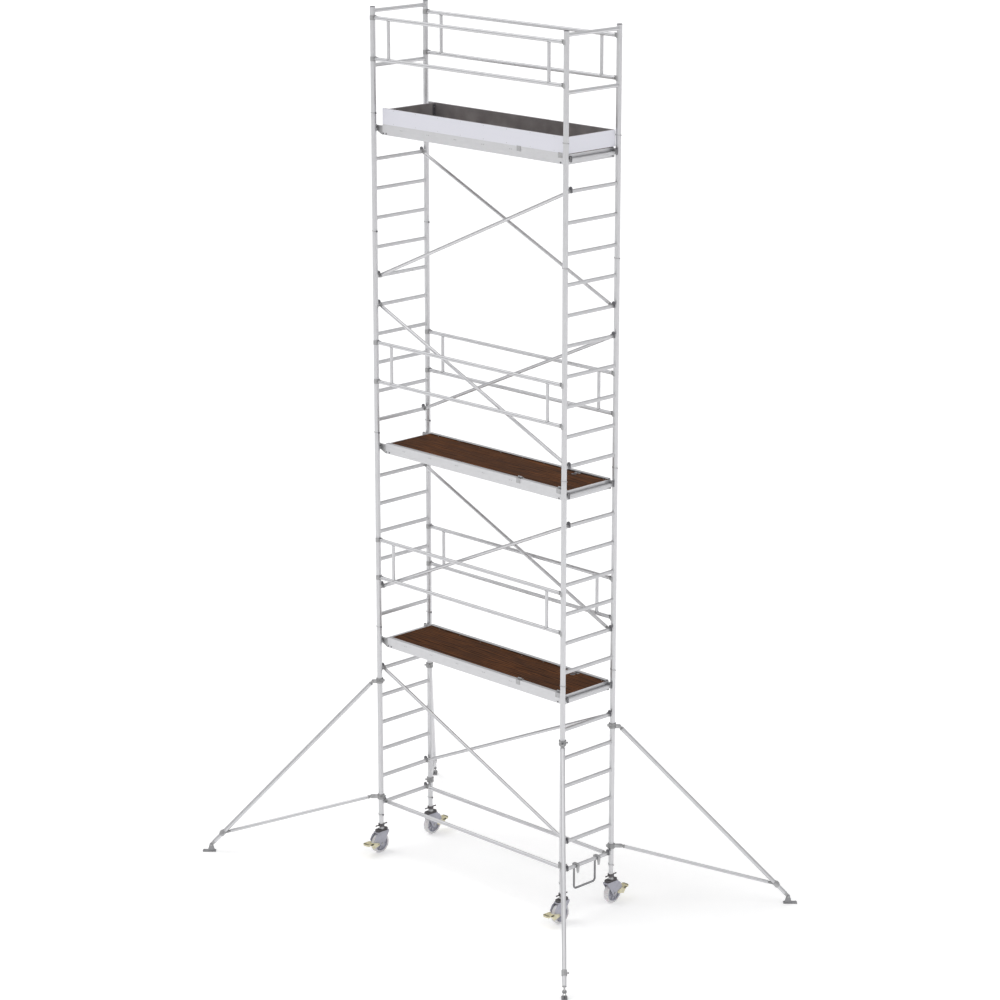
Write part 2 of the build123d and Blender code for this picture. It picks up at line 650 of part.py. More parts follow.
def caster_fork():
    """Swivel head, bridge plate, two cheeks and the axle bolt."""
    head = block((-HEAD_WIDTH / 2, -HEAD_LENGTH / 2, HEAD_Z), (HEAD_WIDTH / 2, HEAD_LENGTH / 2, HEAD_TOP_Z))
    head = fillet(head.edges().filter_by(Axis.Z), HEAD_WIDTH / 2 - 1)
    head -= round_bar((0, 0, HEAD_Z), (0, 0, HEAD_TOP_Z), KINGPIN_D + 2 * RUNNING_GAP)
    out = CHEEK_X + CHEEK
    bridge = block((-out, -HEAD_LENGTH / 2, BRIDGE_Z), (out, HEAD_LENGTH / 2, HEAD_Z))
    pieces = [head, bridge]
    pivot = (WHEEL_TRAIL + PEDAL_PIVOT[0], PEDAL_PIVOT[1])
    for low, high in ((-out, -CHEEK_X), (CHEEK_X, out)):
        cheek = profile_x(cheek_outline(), low, high)
        cheek -= round_bar((low, *pivot), (high, *pivot), PEDAL_PIN_D + 2 * RUNNING_GAP)
        axle_bore = AXLE_D + 2 * WELD_GAP
        cheek -= round_bar((low, WHEEL_TRAIL, AXLE_Z), (high, WHEEL_TRAIL, AXLE_Z), axle_bore)
        pieces.append(cheek)
    end = out + FIT_GAP
    axle = round_bar((-end, WHEEL_TRAIL, AXLE_Z), (end, WHEEL_TRAIL, AXLE_Z), AXLE_D)
    for low, high in ((-end - AXLE_D / 2, -end), (end, end + AXLE_D / 2)):
        axle += round_bar((low, WHEEL_TRAIL, AXLE_Z), (high, WHEEL_TRAIL, AXLE_Z), AXLE_D * 1.5)
    return pieces + [axle]


def caster_wheel():
    """Wheel with tread, web and hub, bored for its axle."""
    half = WHEEL_WIDTH / 2
    radius = WHEEL_D / 2
    bore = AXLE_D / 2 + RUNNING_GAP
    hub = AXLE_D * 1.4
    rim = radius * 0.78
    web = WHEEL_WIDTH / 5
    edge = WHEEL_WIDTH / 8
    outline = [
        (bore, -half), (hub, -half), (hub, -web), (rim, -web), (rim, -half), (radius - edge, -half),
        (radius, -half + edge), (radius, half - edge), (radius - edge, half), (rim, half),
        (rim, web), (hub, web), (hub, half), (bore, half),
    ]
    face = make_face(Polyline(*[(r, 0, x) for r, x in outline], close=True))
    wheel = revolve(face, Axis.Z)
    return Pos(0, WHEEL_TRAIL, AXLE_Z) * Rot(0, 90, 0) * wheel


def caster_pedal():
    """Brake lever: two arms on pins in the cheeks and a tread plate outside the wheel."""
    pivot_y = WHEEL_TRAIL + PEDAL_PIVOT[0]
    pivot_z = PEDAL_PIVOT[1]
    inner = WHEEL_TRAIL + PEDAL_INNER
    reach = WHEEL_TRAIL + PEDAL_REACH
    arm_x = CHEEK_X + CHEEK + 2 * FIT_GAP
    out = arm_x + PEDAL_ARM
    low, high = PEDAL_Z
    pedal = block((-out, inner, high - PEDAL_THICK), (out, reach, high))
    tip = sorted(pedal.edges().filter_by(Axis.Z), key=lambda edge: edge.center().Y)[-2:]
    pedal = fillet(tip, out * 0.6)
    heel = pivot_y - PEDAL_PIN_D * 1.5
    neck = (inner + reach) / 2
    outline = [(heel, low), (inner, low), (neck, high - PEDAL_THICK / 2), (neck, high),
               (inner, high), (heel, pivot_z + PEDAL_PIN_D)]
    for near, far, sign in ((-out, -arm_x, -1), (arm_x, out, 1)):
        pedal += profile_x(outline, near, far)
        pin = sorted((sign * CHEEK_X, sign * out))
        pedal += round_bar((pin[0], pivot_y, pivot_z), (pin[1], pivot_y, pivot_z), PEDAL_PIN_D)
    return pedal


def build_casters():
    spindle = caster_spindle()
    nut = caster_nut()
    fork = caster_fork()
    wheel = caster_wheel()
    pedal = caster_pedal()
    for corner, (sx, sy) in CORNERS.items():
        place = Pos(sx * POST_X, sy * POST_Y, 0) * Rot(0, 0, 0 if sy > 0 else 180)
        save(f"caster_spindle_{corner}", place * spindle)
        save(f"caster_nut_{corner}", place * nut)
        save(f"caster_fork_{corner}", *[place * piece for piece in fork])
        save(f"caster_wheel_{corner}", place * wheel)
        save(f"caster_pedal_{corner}", place * pedal)


# ---- outriggers, each made in the XZ plane with its post on the Z axis -------------------------
def clamp(z, pivot):
    """A ring round the post with a lug that carries a knuckle at the pivot point."""
    half = CLAMP_HEIGHT / 2
    piece = round_bar((0, 0, z - half), (0, 0, z + half), CLAMP_OUTER_D)
    x, _, pivot_z = pivot
    width = KNUCKLE_WIDTH / 2
    piece += block((0, -width, pivot_z - KNUCKLE_D / 2), (x, width, pivot_z + KNUCKLE_D / 2))
    piece += round_bar((x, -width, pivot_z), (x, width, pivot_z), KNUCKLE_D)
    wing = CLAMP_OUTER_D / 2
    piece += block((-wing - KNUCKLE_WIDTH / 2, -width / 2, z - half / 2), (0, width / 2, z + half / 2))
    return piece


def end_plug(near, far, start, bore):
    """A plug from a knuckle into the end of the tube that starts beyond it."""
    return round_bar(near, along(near, far, start + PLUG_DEPTH), bore)


def outrigger_arm():
    """Post clamps, main tube, lower strut, its coupler and the tongue that carries the foot."""
    top = (ARM_PIVOT_R, 0, CLAMP_UPPER_Z - CLAMP_HEIGHT / 5)
    foot = (FOOT_R, 0, FOOT_PIVOT_Z)
    slope = (foot[2] - top[2]) / (foot[0] - top[0])
    coupler = (COUPLER_R, 0, top[2] + slope * (COUPLER_R - top[0]))
    low = (STRUT_PIVOT_R, 0, CLAMP_LOWER_Z)
    post_bore = round_bar((0, 0, 0), (0, 0, LADDER_TOP_Z), POST_D + 2 * RUNNING_GAP)
    arm_start = KNUCKLE_D * 0.9
    strut_end = ARM_D / 2 + COUPLER_WALL + KNUCKLE_D / 2
    arm_bore = ARM_D - 2 * TUBE_WALL - 2 * WELD_GAP
    strut_bore = ARM_STRUT_D - 2 * TUBE_WALL - 2 * WELD_GAP
    main = round_tube(along(top, foot, arm_start), along(foot, top, TONGUE_LENGTH), ARM_D, TUBE_WALL)
    strut = round_tube(along(low, coupler, arm_start), along(coupler, low, strut_end + PLUG_DEPTH),
                       ARM_STRUT_D, TUBE_WALL)
    upper = clamp(CLAMP_UPPER_Z, top) - post_bore
    upper += end_plug(top, foot, arm_start, arm_bore) - post_bore
    lower = clamp(CLAMP_LOWER_Z, low) - post_bore
    lower += end_plug(low, coupler, arm_start, strut_bore)
    half = COUPLER_LENGTH / 2
    ring_ends = (along(coupler, top, half), along(coupler, foot, half))
    joint = round_bar(*ring_ends, ARM_D + 2 * COUPLER_WALL)
    joint += round_bar(coupler, along(coupler, low, strut_end + PLUG_DEPTH), KNUCKLE_WIDTH)
    joint += round_bar(coupler, along(coupler, low, strut_end + 2 * PLUG_DEPTH), strut_bore)
    joint -= round_bar(along(coupler, top, COUPLER_REAM), along(coupler, foot, COUPLER_REAM),
                       ARM_D + 2 * WELD_GAP)
    tongue = round_bar(along(foot, top, TONGUE_LENGTH), along(foot, top, TONGUE_LENGTH + PLUG_DEPTH),
                       arm_bore)
    slab = Plane(origin=foot, x_dir=(0, 1, 0), z_dir=Vector(*top) - Vector(*foot))
    tongue += slab * Pos(0, 0, TONGUE_LENGTH / 2) * Box(TONGUE, 2 * FOOT_EAR_R, TONGUE_LENGTH)
    tongue += round_bar((FOOT_R, -TONGUE / 2, FOOT_PIVOT_Z), (FOOT_R, TONGUE / 2, FOOT_PIVOT_Z),
                        2 * FOOT_EAR_R)
    bore_d = FOOT_PIN_D + 2 * RUNNING_GAP
    tongue -= round_bar((FOOT_R, -TONGUE, FOOT_PIVOT_Z), (FOOT_R, TONGUE, FOOT_PIVOT_Z), bore_d)
    return [upper, main, tongue, lower, strut, joint]


def outrigger_foot():
    """Foot plate with two ears and the pin that the tongue turns on."""
    low_x = FOOT_R - FOOT_INNER
    half = FOOT_WIDTH / 2
    plate = block((low_x, -half, 0), (low_x + FOOT_LENGTH, half, FOOT_PLATE))
    plate = chamfer(plate.edges().group_by(Axis.Z)[-1], FOOT_PLATE / 2)
    ear_in = TONGUE / 2 + 2 * FIT_GAP
    ear_out = ear_in + FOOT_EAR
    for low, high in ((-ear_out, -ear_in), (ear_in, ear_out)):
        ear = profile_y([(FOOT_R - 2 * FOOT_EAR_R, FOOT_PLATE / 2), (FOOT_R + 2 * FOOT_EAR_R, FOOT_PLATE / 2),
                         (FOOT_R + FOOT_EAR_R, FOOT_PIVOT_Z), (FOOT_R - FOOT_EAR_R, FOOT_PIVOT_Z)],
                        (low + high) / 2, FOOT_EAR)
        ear += round_bar((FOOT_R, low, FOOT_PIVOT_Z), (FOOT_R, high, FOOT_PIVOT_Z), 2 * FOOT_EAR_R)
        plate += ear
    return plate + round_bar((FOOT_R, -ear_out, FOOT_PIVOT_Z), (FOOT_R, ear_out, FOOT_PIVOT_Z),
                             FOOT_PIN_D)


def build_outriggers():
    arm = outrigger_arm()
    foot = outrigger_foot()
    for corner, (sx, sy) in CORNERS.items():
        azimuth = degrees(atan2(sy * sin(radians(ARM_AZIMUTH)), sx * cos(radians(ARM_AZIMUTH))))
        place = Pos(sx * POST_X, sy * POST_Y, 0) * Rot(0, 0, azimuth)
        save(f"outrigger_{corner}", *[place * piece for piece in arm])
        save(f"outrigger_foot_{corner}", place * foot)


os.makedirs("parts", exist_ok=True)
build_frames()
build_post_caps()
build_locking_pins()
build_sleeves()
build_braces()
build_guardrails()
build_platforms()
build_toe_boards()
build_step_bracket()
build_casters()
build_outriggers()
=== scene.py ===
"""Looks of a mobile tower scaffold, built round its packed frame: tubes, hooks, decks, casters."""

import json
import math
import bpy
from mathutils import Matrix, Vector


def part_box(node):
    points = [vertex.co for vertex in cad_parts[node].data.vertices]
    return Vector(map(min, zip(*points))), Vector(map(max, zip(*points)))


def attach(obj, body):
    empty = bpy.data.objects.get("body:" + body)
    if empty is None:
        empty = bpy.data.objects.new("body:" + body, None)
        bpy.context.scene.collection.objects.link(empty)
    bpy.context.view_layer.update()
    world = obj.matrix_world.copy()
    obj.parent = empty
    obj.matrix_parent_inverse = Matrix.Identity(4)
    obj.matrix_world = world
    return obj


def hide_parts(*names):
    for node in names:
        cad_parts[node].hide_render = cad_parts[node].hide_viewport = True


bl_info = {
    "name": "Mobile Tower Scaffold",
    "version": (1, 0, 0),
    "blender": (4, 5, 0),
    "location": "View3D > Sidebar > Scaffold",
    "description": "Builds the tubes, hooks, decks, casters and outriggers of an access tower",
    "category": "Add Mesh",
}

import bmesh
import bpy
from bpy.props import FloatProperty, FloatVectorProperty, IntProperty, PointerProperty
from bpy.types import Operator, Panel, PropertyGroup
from mathutils import Matrix, Vector, noise

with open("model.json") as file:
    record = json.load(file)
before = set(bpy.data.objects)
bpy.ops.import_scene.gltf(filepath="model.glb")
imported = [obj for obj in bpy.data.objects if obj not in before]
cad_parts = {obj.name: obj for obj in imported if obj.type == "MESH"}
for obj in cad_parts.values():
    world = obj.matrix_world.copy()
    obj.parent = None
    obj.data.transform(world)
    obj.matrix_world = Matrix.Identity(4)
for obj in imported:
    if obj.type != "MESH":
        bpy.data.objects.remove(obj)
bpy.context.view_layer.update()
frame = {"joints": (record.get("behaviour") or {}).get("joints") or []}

CORNERS = {
    "front_left": (-1, -1),
    "front_right": (1, -1),
    "back_left": (-1, 1),
    "back_right": (1, 1),
}
SIDES = {"left": -1, "right": 1}
LEVELS = (1, 2, 3)
MM = 0.001


# ---- places, from the frame --------------------------------------------------------------------
def low(node):
    return Vector(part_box(node)[0])


def high(node):
    return Vector(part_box(node)[1])


def middle(node):
    return (low(node) + high(node)) / 2


def joint(name):
    """The packed joint of that name."""
    return next(j for j in frame["joints"] if j["name"] == name)


POST_X = middle("frame_right_1").x
FRAME_OUT_Y = high("frame_right_1").y
FRAME_BASE_Z = low("frame_right_1").z
LADDER_TOP_Z = low("guard_frame_right").z
TOWER_TOP_Z = high("guard_frame_right").z
# an outline that stands in Y and Z, with its bar along X
ACROSS = Matrix(((0, 0, 1), (1, 0, 0), (0, 1, 0))).to_4x4()
# gap between a fitting and the tube that it grips
PLAY = 0.3 * MM


# ---- sizes and colours a user would change -----------------------------------------------------
def length(name, description, default):
    """A length property in metres."""
    return FloatProperty(name=name, description=description, default=default, min=0.0,
                         unit="LENGTH")


def colour(name, description, hex_code):
    """A colour property whose default is an sRGB hex value."""
    return FloatVectorProperty(name=name, description=description, subtype="COLOR", size=3,
                               min=0.0, max=1.0, default=linear(hex_code))


def linear(hex_code):
    """Linear RGB of an sRGB hex value."""
    channels = [int(hex_code[i:i + 2], 16) / 255 for i in (0, 2, 4)]
    return tuple(c / 12.92 if c <= 0.04045 else ((c + 0.055) / 1.055) ** 2.4 for c in channels)


class TubeSizes(PropertyGroup):
    """Tubes of the frames, braces and rails."""

    post: length("Post", "Outside diameter of a post", 0.050)
    post_wall: length("Post wall", "Wall of a post", 0.0025)
    pitch: length("Rung pitch", "Height from rung to rung", 0.280)
    rung: length("Rung", "Width of a rung's rounded square section", 0.030)
    end_rail: length("End rail", "Diameter of a guard frame's cross tube", 0.036)
    rail: length("Guardrail", "Diameter of a guardrail tube", 0.035)
    brace: length("Brace", "Diameter of a diagonal brace", 0.032)
    strut: length("Base strut", "Diameter of a base strut", 0.038)
    wall: length("Tube wall", "Wall of the braces and rails", 0.002)
    weld: length("Weld bead", "Height of a weld bead's throat", 0.0035)


class HookSizes(PropertyGroup):
    """Hooks, claws, latches and locking clips."""

    width: length("Hook width", "Width of a brace hook along the rung", 0.026)
    wall: length("Hook wall", "Metal round the rung", 0.009)
    neck: length("Hook neck", "Rung axis to the end of the brace tube", 0.046)
    claw_height: length("Rail claw", "Height of a guardrail claw", 0.042)
    claw_wall: length("Claw wall", "Metal round the post", 0.006)
    pin: length("Locking pin", "Diameter of a locking pin", 0.008)
    clip_wire: length("Clip wire", "Diameter of the spring clip round the post", 0.0045)


class DeckSizes(PropertyGroup):
    """Platforms, hatches and toe boards."""

    wall: length("Rail wall", "Wall of the platform's side rail", 0.003)
    lip: length("Lip", "Top flange over the edge of the deck", 0.038)
    flange: length("Flange", "Bottom flange of the side rail", 0.020)
    ledge: length("Ledge", "Ledge that carries the deck, from the outside", 0.055)
    toe_board: length("Toe board", "Thickness of a toe board", 0.020)
    facing: length("Toe facing", "Thickness of a toe board's metal facing", 0.0025)
    grip: length("Grip pattern", "Mesh of the pattern pressed into the deck's film", 0.009)
    rivet: length("Rivet", "Diameter of a rivet's head", 0.010)


class CasterSizes(PropertyGroup):
    """Wheels, forks, spindles and brake pedals."""

    trail: length("Trail", "Post axis to wheel axle", 0.022)
    axle: length("Axle", "Diameter of the axle bolt", 0.016)
    thread_pitch: length("Thread pitch", "Lead of the spindle's thread", 0.008)
    thread_depth: length("Thread depth", "Depth of the spindle's thread", 0.0015)
    spokes: IntProperty(name="Spokes", description="Ribs on each side of a wheel", default=8, min=3)


class OutriggerSizes(PropertyGroup):
    """Arms, struts, clamps and feet."""

    arm: length("Arm", "Diameter of the main tube", 0.040)
    strut: length("Strut", "Diameter of the lower tube", 0.034)
    clamp: length("Clamp", "Outside diameter of a post clamp", 0.070)
    clamp_height: length("Clamp height", "Height of a post clamp", 0.050)


class FinishColours(PropertyGroup):
    """Colours of the finishes, as sRGB."""

    aluminium: colour("Aluminium", "Mill-finish extruded tube", "D6D6D8")
    cast: colour("Cast aluminium", "Hooks, claws and clamps", "A9A9AA")
    latch: colour("Latch", "Dark latches and end fittings", "6C6B70")
    zinc: colour("Zinc", "Plated pins, bolts and thread", "B4B5B8")
    ply: colour("Deck film", "Film-faced plywood", "523119")
    ply_edge: colour("Deck edge", "Sealed edge of the plywood", "6B4A33")
    toe_outer: colour("Toe facing", "Outer face of a toe board", "C9C9D0")
    bar: colour("Step bar", "Galvanised bar of the step bracket", "8E8E90")
    toe_inner: colour("Toe inner", "Inner face of a toe board", "A09C9D")
    fork: colour("Fork", "Painted caster fork", "B4B4BF")
    head: colour("Swivel head", "Dark swivel head and height nut", "5C595B")
    pedal: colour("Pedal", "Painted brake pedal", "E6DFBE")
    pedal_grip: colour("Pedal grip", "Rubber grip on the pedal's tip", "8C8770")
    tyre: colour("Tyre", "Pale wheel tread", "E0DEE0")
    foot: colour("Foot", "Cast foot of an outrigger", "98989A")
    rubber: colour("Rubber", "Pad under a foot", "3A3A3C")
    floor: colour("Floor", "Pale studio floor", "FCFCFC")


SETTINGS = {
    "tower_tubes": TubeSizes,
    "tower_hooks": HookSizes,
    "tower_decks": DeckSizes,
    "tower_casters": CasterSizes,
    "tower_outriggers": OutriggerSizes,
    "tower_finish": FinishColours,
}


# ---- outlines ----------------------------------------------------------------------------------
def arc(radius, start, end, steps, centre=(0.0, 0.0)):
    """Points on a circle between two angles in degrees, both ends included."""
    points = []
    for i in range(steps + 1):
        angle = math.radians(start + (end - start) * i / steps)
        points.append((centre[0] + radius * math.cos(angle), centre[1] + radius * math.sin(angle)))
    return points


def round_outline(radius, sides=32):
    return arc(radius, 0, 360 - 360 / sides, sides - 1)


def box_outline(width, height, corner, steps=3):
    """A rectangle about the origin with rounded corners."""
    x, y = width / 2 - corner, height / 2 - corner
    outline = []
    for start, (cx, cy) in zip((0, 90, 180, 270), ((x, y), (-x, y), (-x, -y), (x, -y))):
        outline += arc(corner, start, start + 90, steps, (cx, cy))
    return outline


def grip_outline(size, corner, grooves, depth):
    """A rounded square with shallow grooves along each face, for feet and hands."""
    outline = []
    flat = size - 2 * corner
    pitch = flat / (2 * grooves + 1)
    for quarter in range(4):
        turn = Matrix.Rotation(math.radians(90 * quarter), 2)
        side = []
        for i in range(grooves):
            start = -flat / 2 + pitch * (2 * i + 1)
            side += [(size / 2, start), (size / 2 - depth, start + pitch * 0.25),
                     (size / 2 - depth, start + pitch * 0.75), (size / 2, start + pitch)]
        side = side + arc(corner, 0, 90, 3, (size / 2 - corner, size / 2 - corner))
        outline += [tuple(turn @ Vector(point)) for point in side]
    return outline


# ---- meshes ------------------------------------------------------------------------------------
def between(near, far):
    """The placement whose Z axis runs from near to far, and the distance between them."""
    near, far = Vector(near), Vector(far)
    direction = far - near
    turn = direction.to_track_quat("Z", "Y").to_matrix().to_4x4()
    return Matrix.Translation(near) @ turn, direction.length


def upright(way=1):
    """The placement of an outline that stands in X and Z; way -1 turns it towards -X."""
    return Matrix(((way, 0, 0), (0, 0, 1), (0, 1, 0))).to_4x4()


def along(near, far, distance):
    """The point that far from near, on the way to far."""
    near, far = Vector(near), Vector(far)
    return near + (far - near).normalized() * distance


class Shape:
    """A mesh made of skins. Its texture coordinates are metres round and along each skin."""

    def __init__(self, place=None):
        self.mesh = bmesh.new()
        self.grain = self.mesh.loops.layers.uv.new("grain")
        self.place = place or Matrix.Identity(4)

    def skin(self, rings, finish=0, loop=False, caps=True):
        """Joins rings of points in order and gives the faces, end caps last. With loop, the last
        ring joins the first."""
        faces = []
        rows = [[self.mesh.verts.new(self.place @ Vector(point)) for point in ring]
                for ring in rings]
        count = len(rows[0])
        round_way = [0.0]
        for i in range(count):
            step = rings[0][(i + 1) % count]
            step = (Vector(step) - Vector(rings[0][i])).length
            other = (Vector(rings[-1][(i + 1) % count]) - Vector(rings[-1][i])).length
            round_way.append(round_way[-1] + max(step, other))
        run = 0.0
        pairs = list(zip(range(len(rows)), range(1, len(rows))))
        if loop:
            pairs.append((len(rows) - 1, 0))
        for a, b in pairs:
            gap = (sum((v.co for v in rows[b]), Vector()) - sum((v.co for v in rows[a]), Vector()))
            step = max(gap.length / count, (rows[b][0].co - rows[a][0].co).length)
            for i in range(count):
                j = (i + 1) % count
                face = self.mesh.faces.new((rows[a][i], rows[a][j], rows[b][j], rows[b][i]))
                face.material_index = finish
                faces.append(face)
                coordinates = ((round_way[i], run), (round_way[i + 1], run),
                               (round_way[i + 1], run + step), (round_way[i], run + step))
                for corner, uv in zip(face.loops, coordinates):
                    corner[self.grain].uv = uv
            run += step
        if caps and not loop:
            for row in (list(reversed(rows[0])), rows[-1]):
                face = self.mesh.faces.new(row)
                face.material_index = finish
                faces.append(face)
                for corner in face.loops:
                    corner[self.grain].uv = corner.vert.co.xy + Vector((corner.vert.co.z, 0))
        return faces

    def extrude(self, outline, place, depth, finish=0, start=0.0):
        """A solid bar of that outline along the placement's Z axis."""
        return self.skin([[place @ Vector((x, y, z)) for x, y in outline]
                          for z in (start, start + depth)], finish)

    def tube(self, near, far, outline, hollow, finish=0):
        """An open tube between two points; outline and hollow are its two sections."""
        place, depth = between(near, far)
        rings = [[place @ Vector((x, y, z)) for x, y in section]
                 for section, z in ((outline, 0), (outline, depth), (hollow, depth), (hollow, 0))]
        self.skin(rings, finish, loop=True)

    def round_tube(self, near, far, diameter, wall, finish=0, sides=32):
        self.tube(near, far, round_outline(diameter / 2, sides),
                  round_outline(diameter / 2 - wall, sides), finish)

    def round_bar(self, near, far, diameter, finish=0, sides=24):
        place, depth = between(near, far)
        self.extrude(round_outline(diameter / 2, sides), place, depth, finish)

    def turned(self, near, far, profile, finish=0, sides=32, loop=False):
        """A turned body: profile is (radius, distance from near towards far) in order."""
        place, _ = between(near, far)
        rings = [[place @ Vector((x, y, z)) for x, y in round_outline(radius, sides)]
                 for radius, z in profile]
        self.skin(rings, finish, loop=loop)

    def bolt(self, near, far, across, washer=0.0, finish=0):
        """A washer and a domed hexagon head that stands from near towards far."""
        depth = (Vector(far) - Vector(near)).length
        if washer:
            self.turned(near, far, ((washer / 2, 0), (washer / 2, depth * 0.25)), finish, 20)
        place, _ = between(near, far)
        rings = []
        for share, z in ((1.0, 0.2), (1.0, 0.85), (0.82, 1.0)):
            hexagon = round_outline(across / math.sqrt(3) * share, 6)
            rings.append([place @ Vector((x, y, z * depth)) for x, y in hexagon])
        self.skin(rings, finish)

    def sweep(self, path, outline, finish=0, loop=False):
        """An outline carried along a path of points without twist."""
        path = [Vector(point) for point in path]
        rings = []
        normal = None
        for i, point in enumerate(path):
            before = path[i - 1] if i or loop else point
            after = path[(i + 1) % len(path)] if i + 1 < len(path) or loop else point
            direction = (after - before).normalized()
            if normal is None:
                normal = direction.orthogonal().normalized()
            normal = (normal - direction * normal.dot(direction)).normalized()
            side = direction.cross(normal)
            rings.append([point + normal * x + side * y for x, y in outline])
        self.skin(rings, finish, loop=loop)

    def weld(self, ring_points, size, finish, seed=0):
        """A rippled bead along a closed loop of points."""
        path = [Vector(point) for point in ring_points]
        centre = sum(path, Vector()) / len(path)
        rings = []
        for i, point in enumerate(path):
            direction = (path[(i + 1) % len(path)] - path[i - 1]).normalized()
            outward = (point - centre).normalized()
            side = direction.cross(outward).normalized()
            ripple = 1 + 0.16 * math.sin(i * 2.4 + seed) + 0.1 * noise.noise(point * 90)
            rings.append([point + (outward * x + side * y) * ripple
                          for x, y in round_outline(size, 6)])
        self.skin(rings, finish, loop=True)


def make_piece(name, shape, finishes, body, nodes=(), edge=0.0008, smooth=38):
    """Turns a shape into an object that rides on a body and replaces CAD nodes."""
    mesh = bpy.data.meshes.new(name)
    bmesh.ops.recalc_face_normals(shape.mesh, faces=shape.mesh.faces)
    shape.mesh.to_mesh(mesh)
    shape.mesh.free()
    for finish in finishes:
        mesh.materials.append(finish)
    mesh.shade_smooth()
    mesh.set_sharp_from_angle(angle=math.radians(smooth))
    piece = bpy.data.objects.new(name, mesh)
    bpy.context.scene.collection.objects.link(piece)
    if edge:
        bevel = piece.modifiers.new("worn edge", "BEVEL")
        bevel.width = edge
        bevel.segments = 2
        bevel.limit_method = "ANGLE"
        bevel.angle_limit = math.radians(smooth)
        flat = piece.modifiers.new("flat faces", "WEIGHTED_NORMAL")
        flat.weight = 100
        flat.keep_sharp = True
    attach(piece, body)
    if nodes:
        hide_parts(*nodes)
    return piece


# ---- finishes ----------------------------------------------------------------------------------
def add(tree, kind, settings=None, inputs=None):
    """Adds a node; settings are its properties, inputs its sockets' values or what feeds them."""
    made = tree.nodes.new(kind)
    for key, value in (settings or {}).items():
        setattr(made, key, value)
    for key, value in (inputs or {}).items():
        if isinstance(value, bpy.types.NodeSocket):
            tree.links.new(value, made.inputs[key])
        else:
            made.inputs[key].default_value = value
    return made


def new_finish(name, metallic, roughness):
    """An empty finish: its tree and its shader."""
    material = bpy.data.materials.new(name)
    material.use_nodes = True
    shader = material.node_tree.nodes["Principled BSDF"]
    shader.inputs["Metallic"].default_value = metallic
    shader.inputs["Roughness"].default_value = roughness
    return material, material.node_tree, shader


# colour sockets of a mix node
MIX_FIRST, MIX_SECOND, MIX_RESULT = 6, 7, 2


def blend(tree, factor, first, second, start=0.0, end=1.0, share=1.0):
    """Goes from one colour to that share of another while a factor climbs from start to end."""
    climb = add(tree, "ShaderNodeMapRange", inputs={
        "Value": factor, "From Min": start, "From Max": end, "To Max": share})
    ends = [c if isinstance(c, bpy.types.NodeSocket) else (*c, 1.0) for c in (first, second)]
    mix = add(tree, "ShaderNodeMix", {"data_type": "RGBA"}, {
        "Factor": climb.outputs["Result"], MIX_FIRST: ends[0], MIX_SECOND: ends[1]})
    return mix.outputs[MIX_RESULT]


def dress(tree, shader, base, rough=None, relief=None):
    """Feeds a shader its colour, its roughness as factor, least and most, and its relief as
    factor and depth in metres."""
    tree.links.new(base, shader.inputs["Base Color"])
    if rough:
        span = add(tree, "ShaderNodeMapRange", inputs={
            "Value": rough[0], "To Min": rough[1], "To Max": rough[2]})
        tree.links.new(span.outputs["Result"], shader.inputs["Roughness"])
    if relief:
        bump = add(tree, "ShaderNodeBump", inputs={
            "Height": relief[0], "Distance": relief[1], "Strength": 1.0})
        tree.links.new(bump.outputs["Normal"], shader.inputs["Normal"])


def dimmed(rgb, share):
    return tuple(channel * share for channel in rgb)


def speckle(tree, size, detail=3.0, stretch=(1.0, 1.0, 1.0), source="Object"):
    """Noise with features of that size in metres."""
    place = add(tree, "ShaderNodeTexCoord").outputs[source]
    scaled = add(tree, "ShaderNodeMapping", inputs={
        "Vector": place, "Scale": tuple(1 / (size * s) for s in stretch)})
    return add(tree, "ShaderNodeTexNoise", inputs={
        "Vector": scaled.outputs["Vector"], "Scale": 1.0, "Detail": detail}).outputs["Fac"]


def worn_edges(tree, first, second, onset=0.53):
    """Goes from one colour to another where an edge stands out and gets rubbed."""
    edge = add(tree, "ShaderNodeNewGeometry").outputs["Pointiness"]
    return blend(tree, edge, first, second, onset, onset + 0.07)


def extruded_aluminium(colours):
    """Mill-finish extrusion: soft white gloss with fine die lines along the bar and dull patches
    where hands and rain have greyed it."""
    material, tree, shader = new_finish("extruded aluminium", 0.9, 0.42)
    # die lines are about 1 mm apart and run the length of the bar
    lines = speckle(tree, 1.2 * MM, 2.0, (1.0, 400.0, 1.0), "UV")
    patches = speckle(tree, 70 * MM, 4.0)
    # the lines swing the roughness by 0.08 and the patches by 0.07, from 0.36
    lined = add(tree, "ShaderNodeMath", {"operation": "MULTIPLY_ADD"}, {
        0: lines, 1: 0.08, 2: 0.36}).outputs["Value"]
    rough = add(tree, "ShaderNodeMath", {"operation": "MULTIPLY_ADD"}, {
        0: patches, 1: 0.07, 2: lined}).outputs["Value"]
    tree.links.new(rough, shader.inputs["Roughness"])
    base = tuple(colours.aluminium)
    dress(tree, shader, blend(tree, patches, dimmed(base, 0.955), base, 0.3, 0.66),
          relief=(lines, 0.06 * MM))
    return material


def cast_metal(name, rgb, metallic=0.85, grain=1.6 * MM, depth=0.12 * MM, shine=0.5, mottle=0.78):
    """Sand or die casting: a soft, slightly pebbled grey skin, brighter where edges are rubbed."""
    material, tree, shader = new_finish(name, metallic, shine)
    pebbles = speckle(tree, grain, 2.0)
    patches = speckle(tree, 25 * MM, 3.0)
    rgb = tuple(rgb)
    base = blend(tree, patches, dimmed(rgb, mottle), rgb, 0.3, 0.7)
    bright = tuple(min(1.0, channel * 1.5 + 0.05) for channel in rgb)
    dress(tree, shader, worn_edges(tree, base, bright), (patches, shine - 0.08, shine + 0.12),
          (pebbles, depth))
    return material


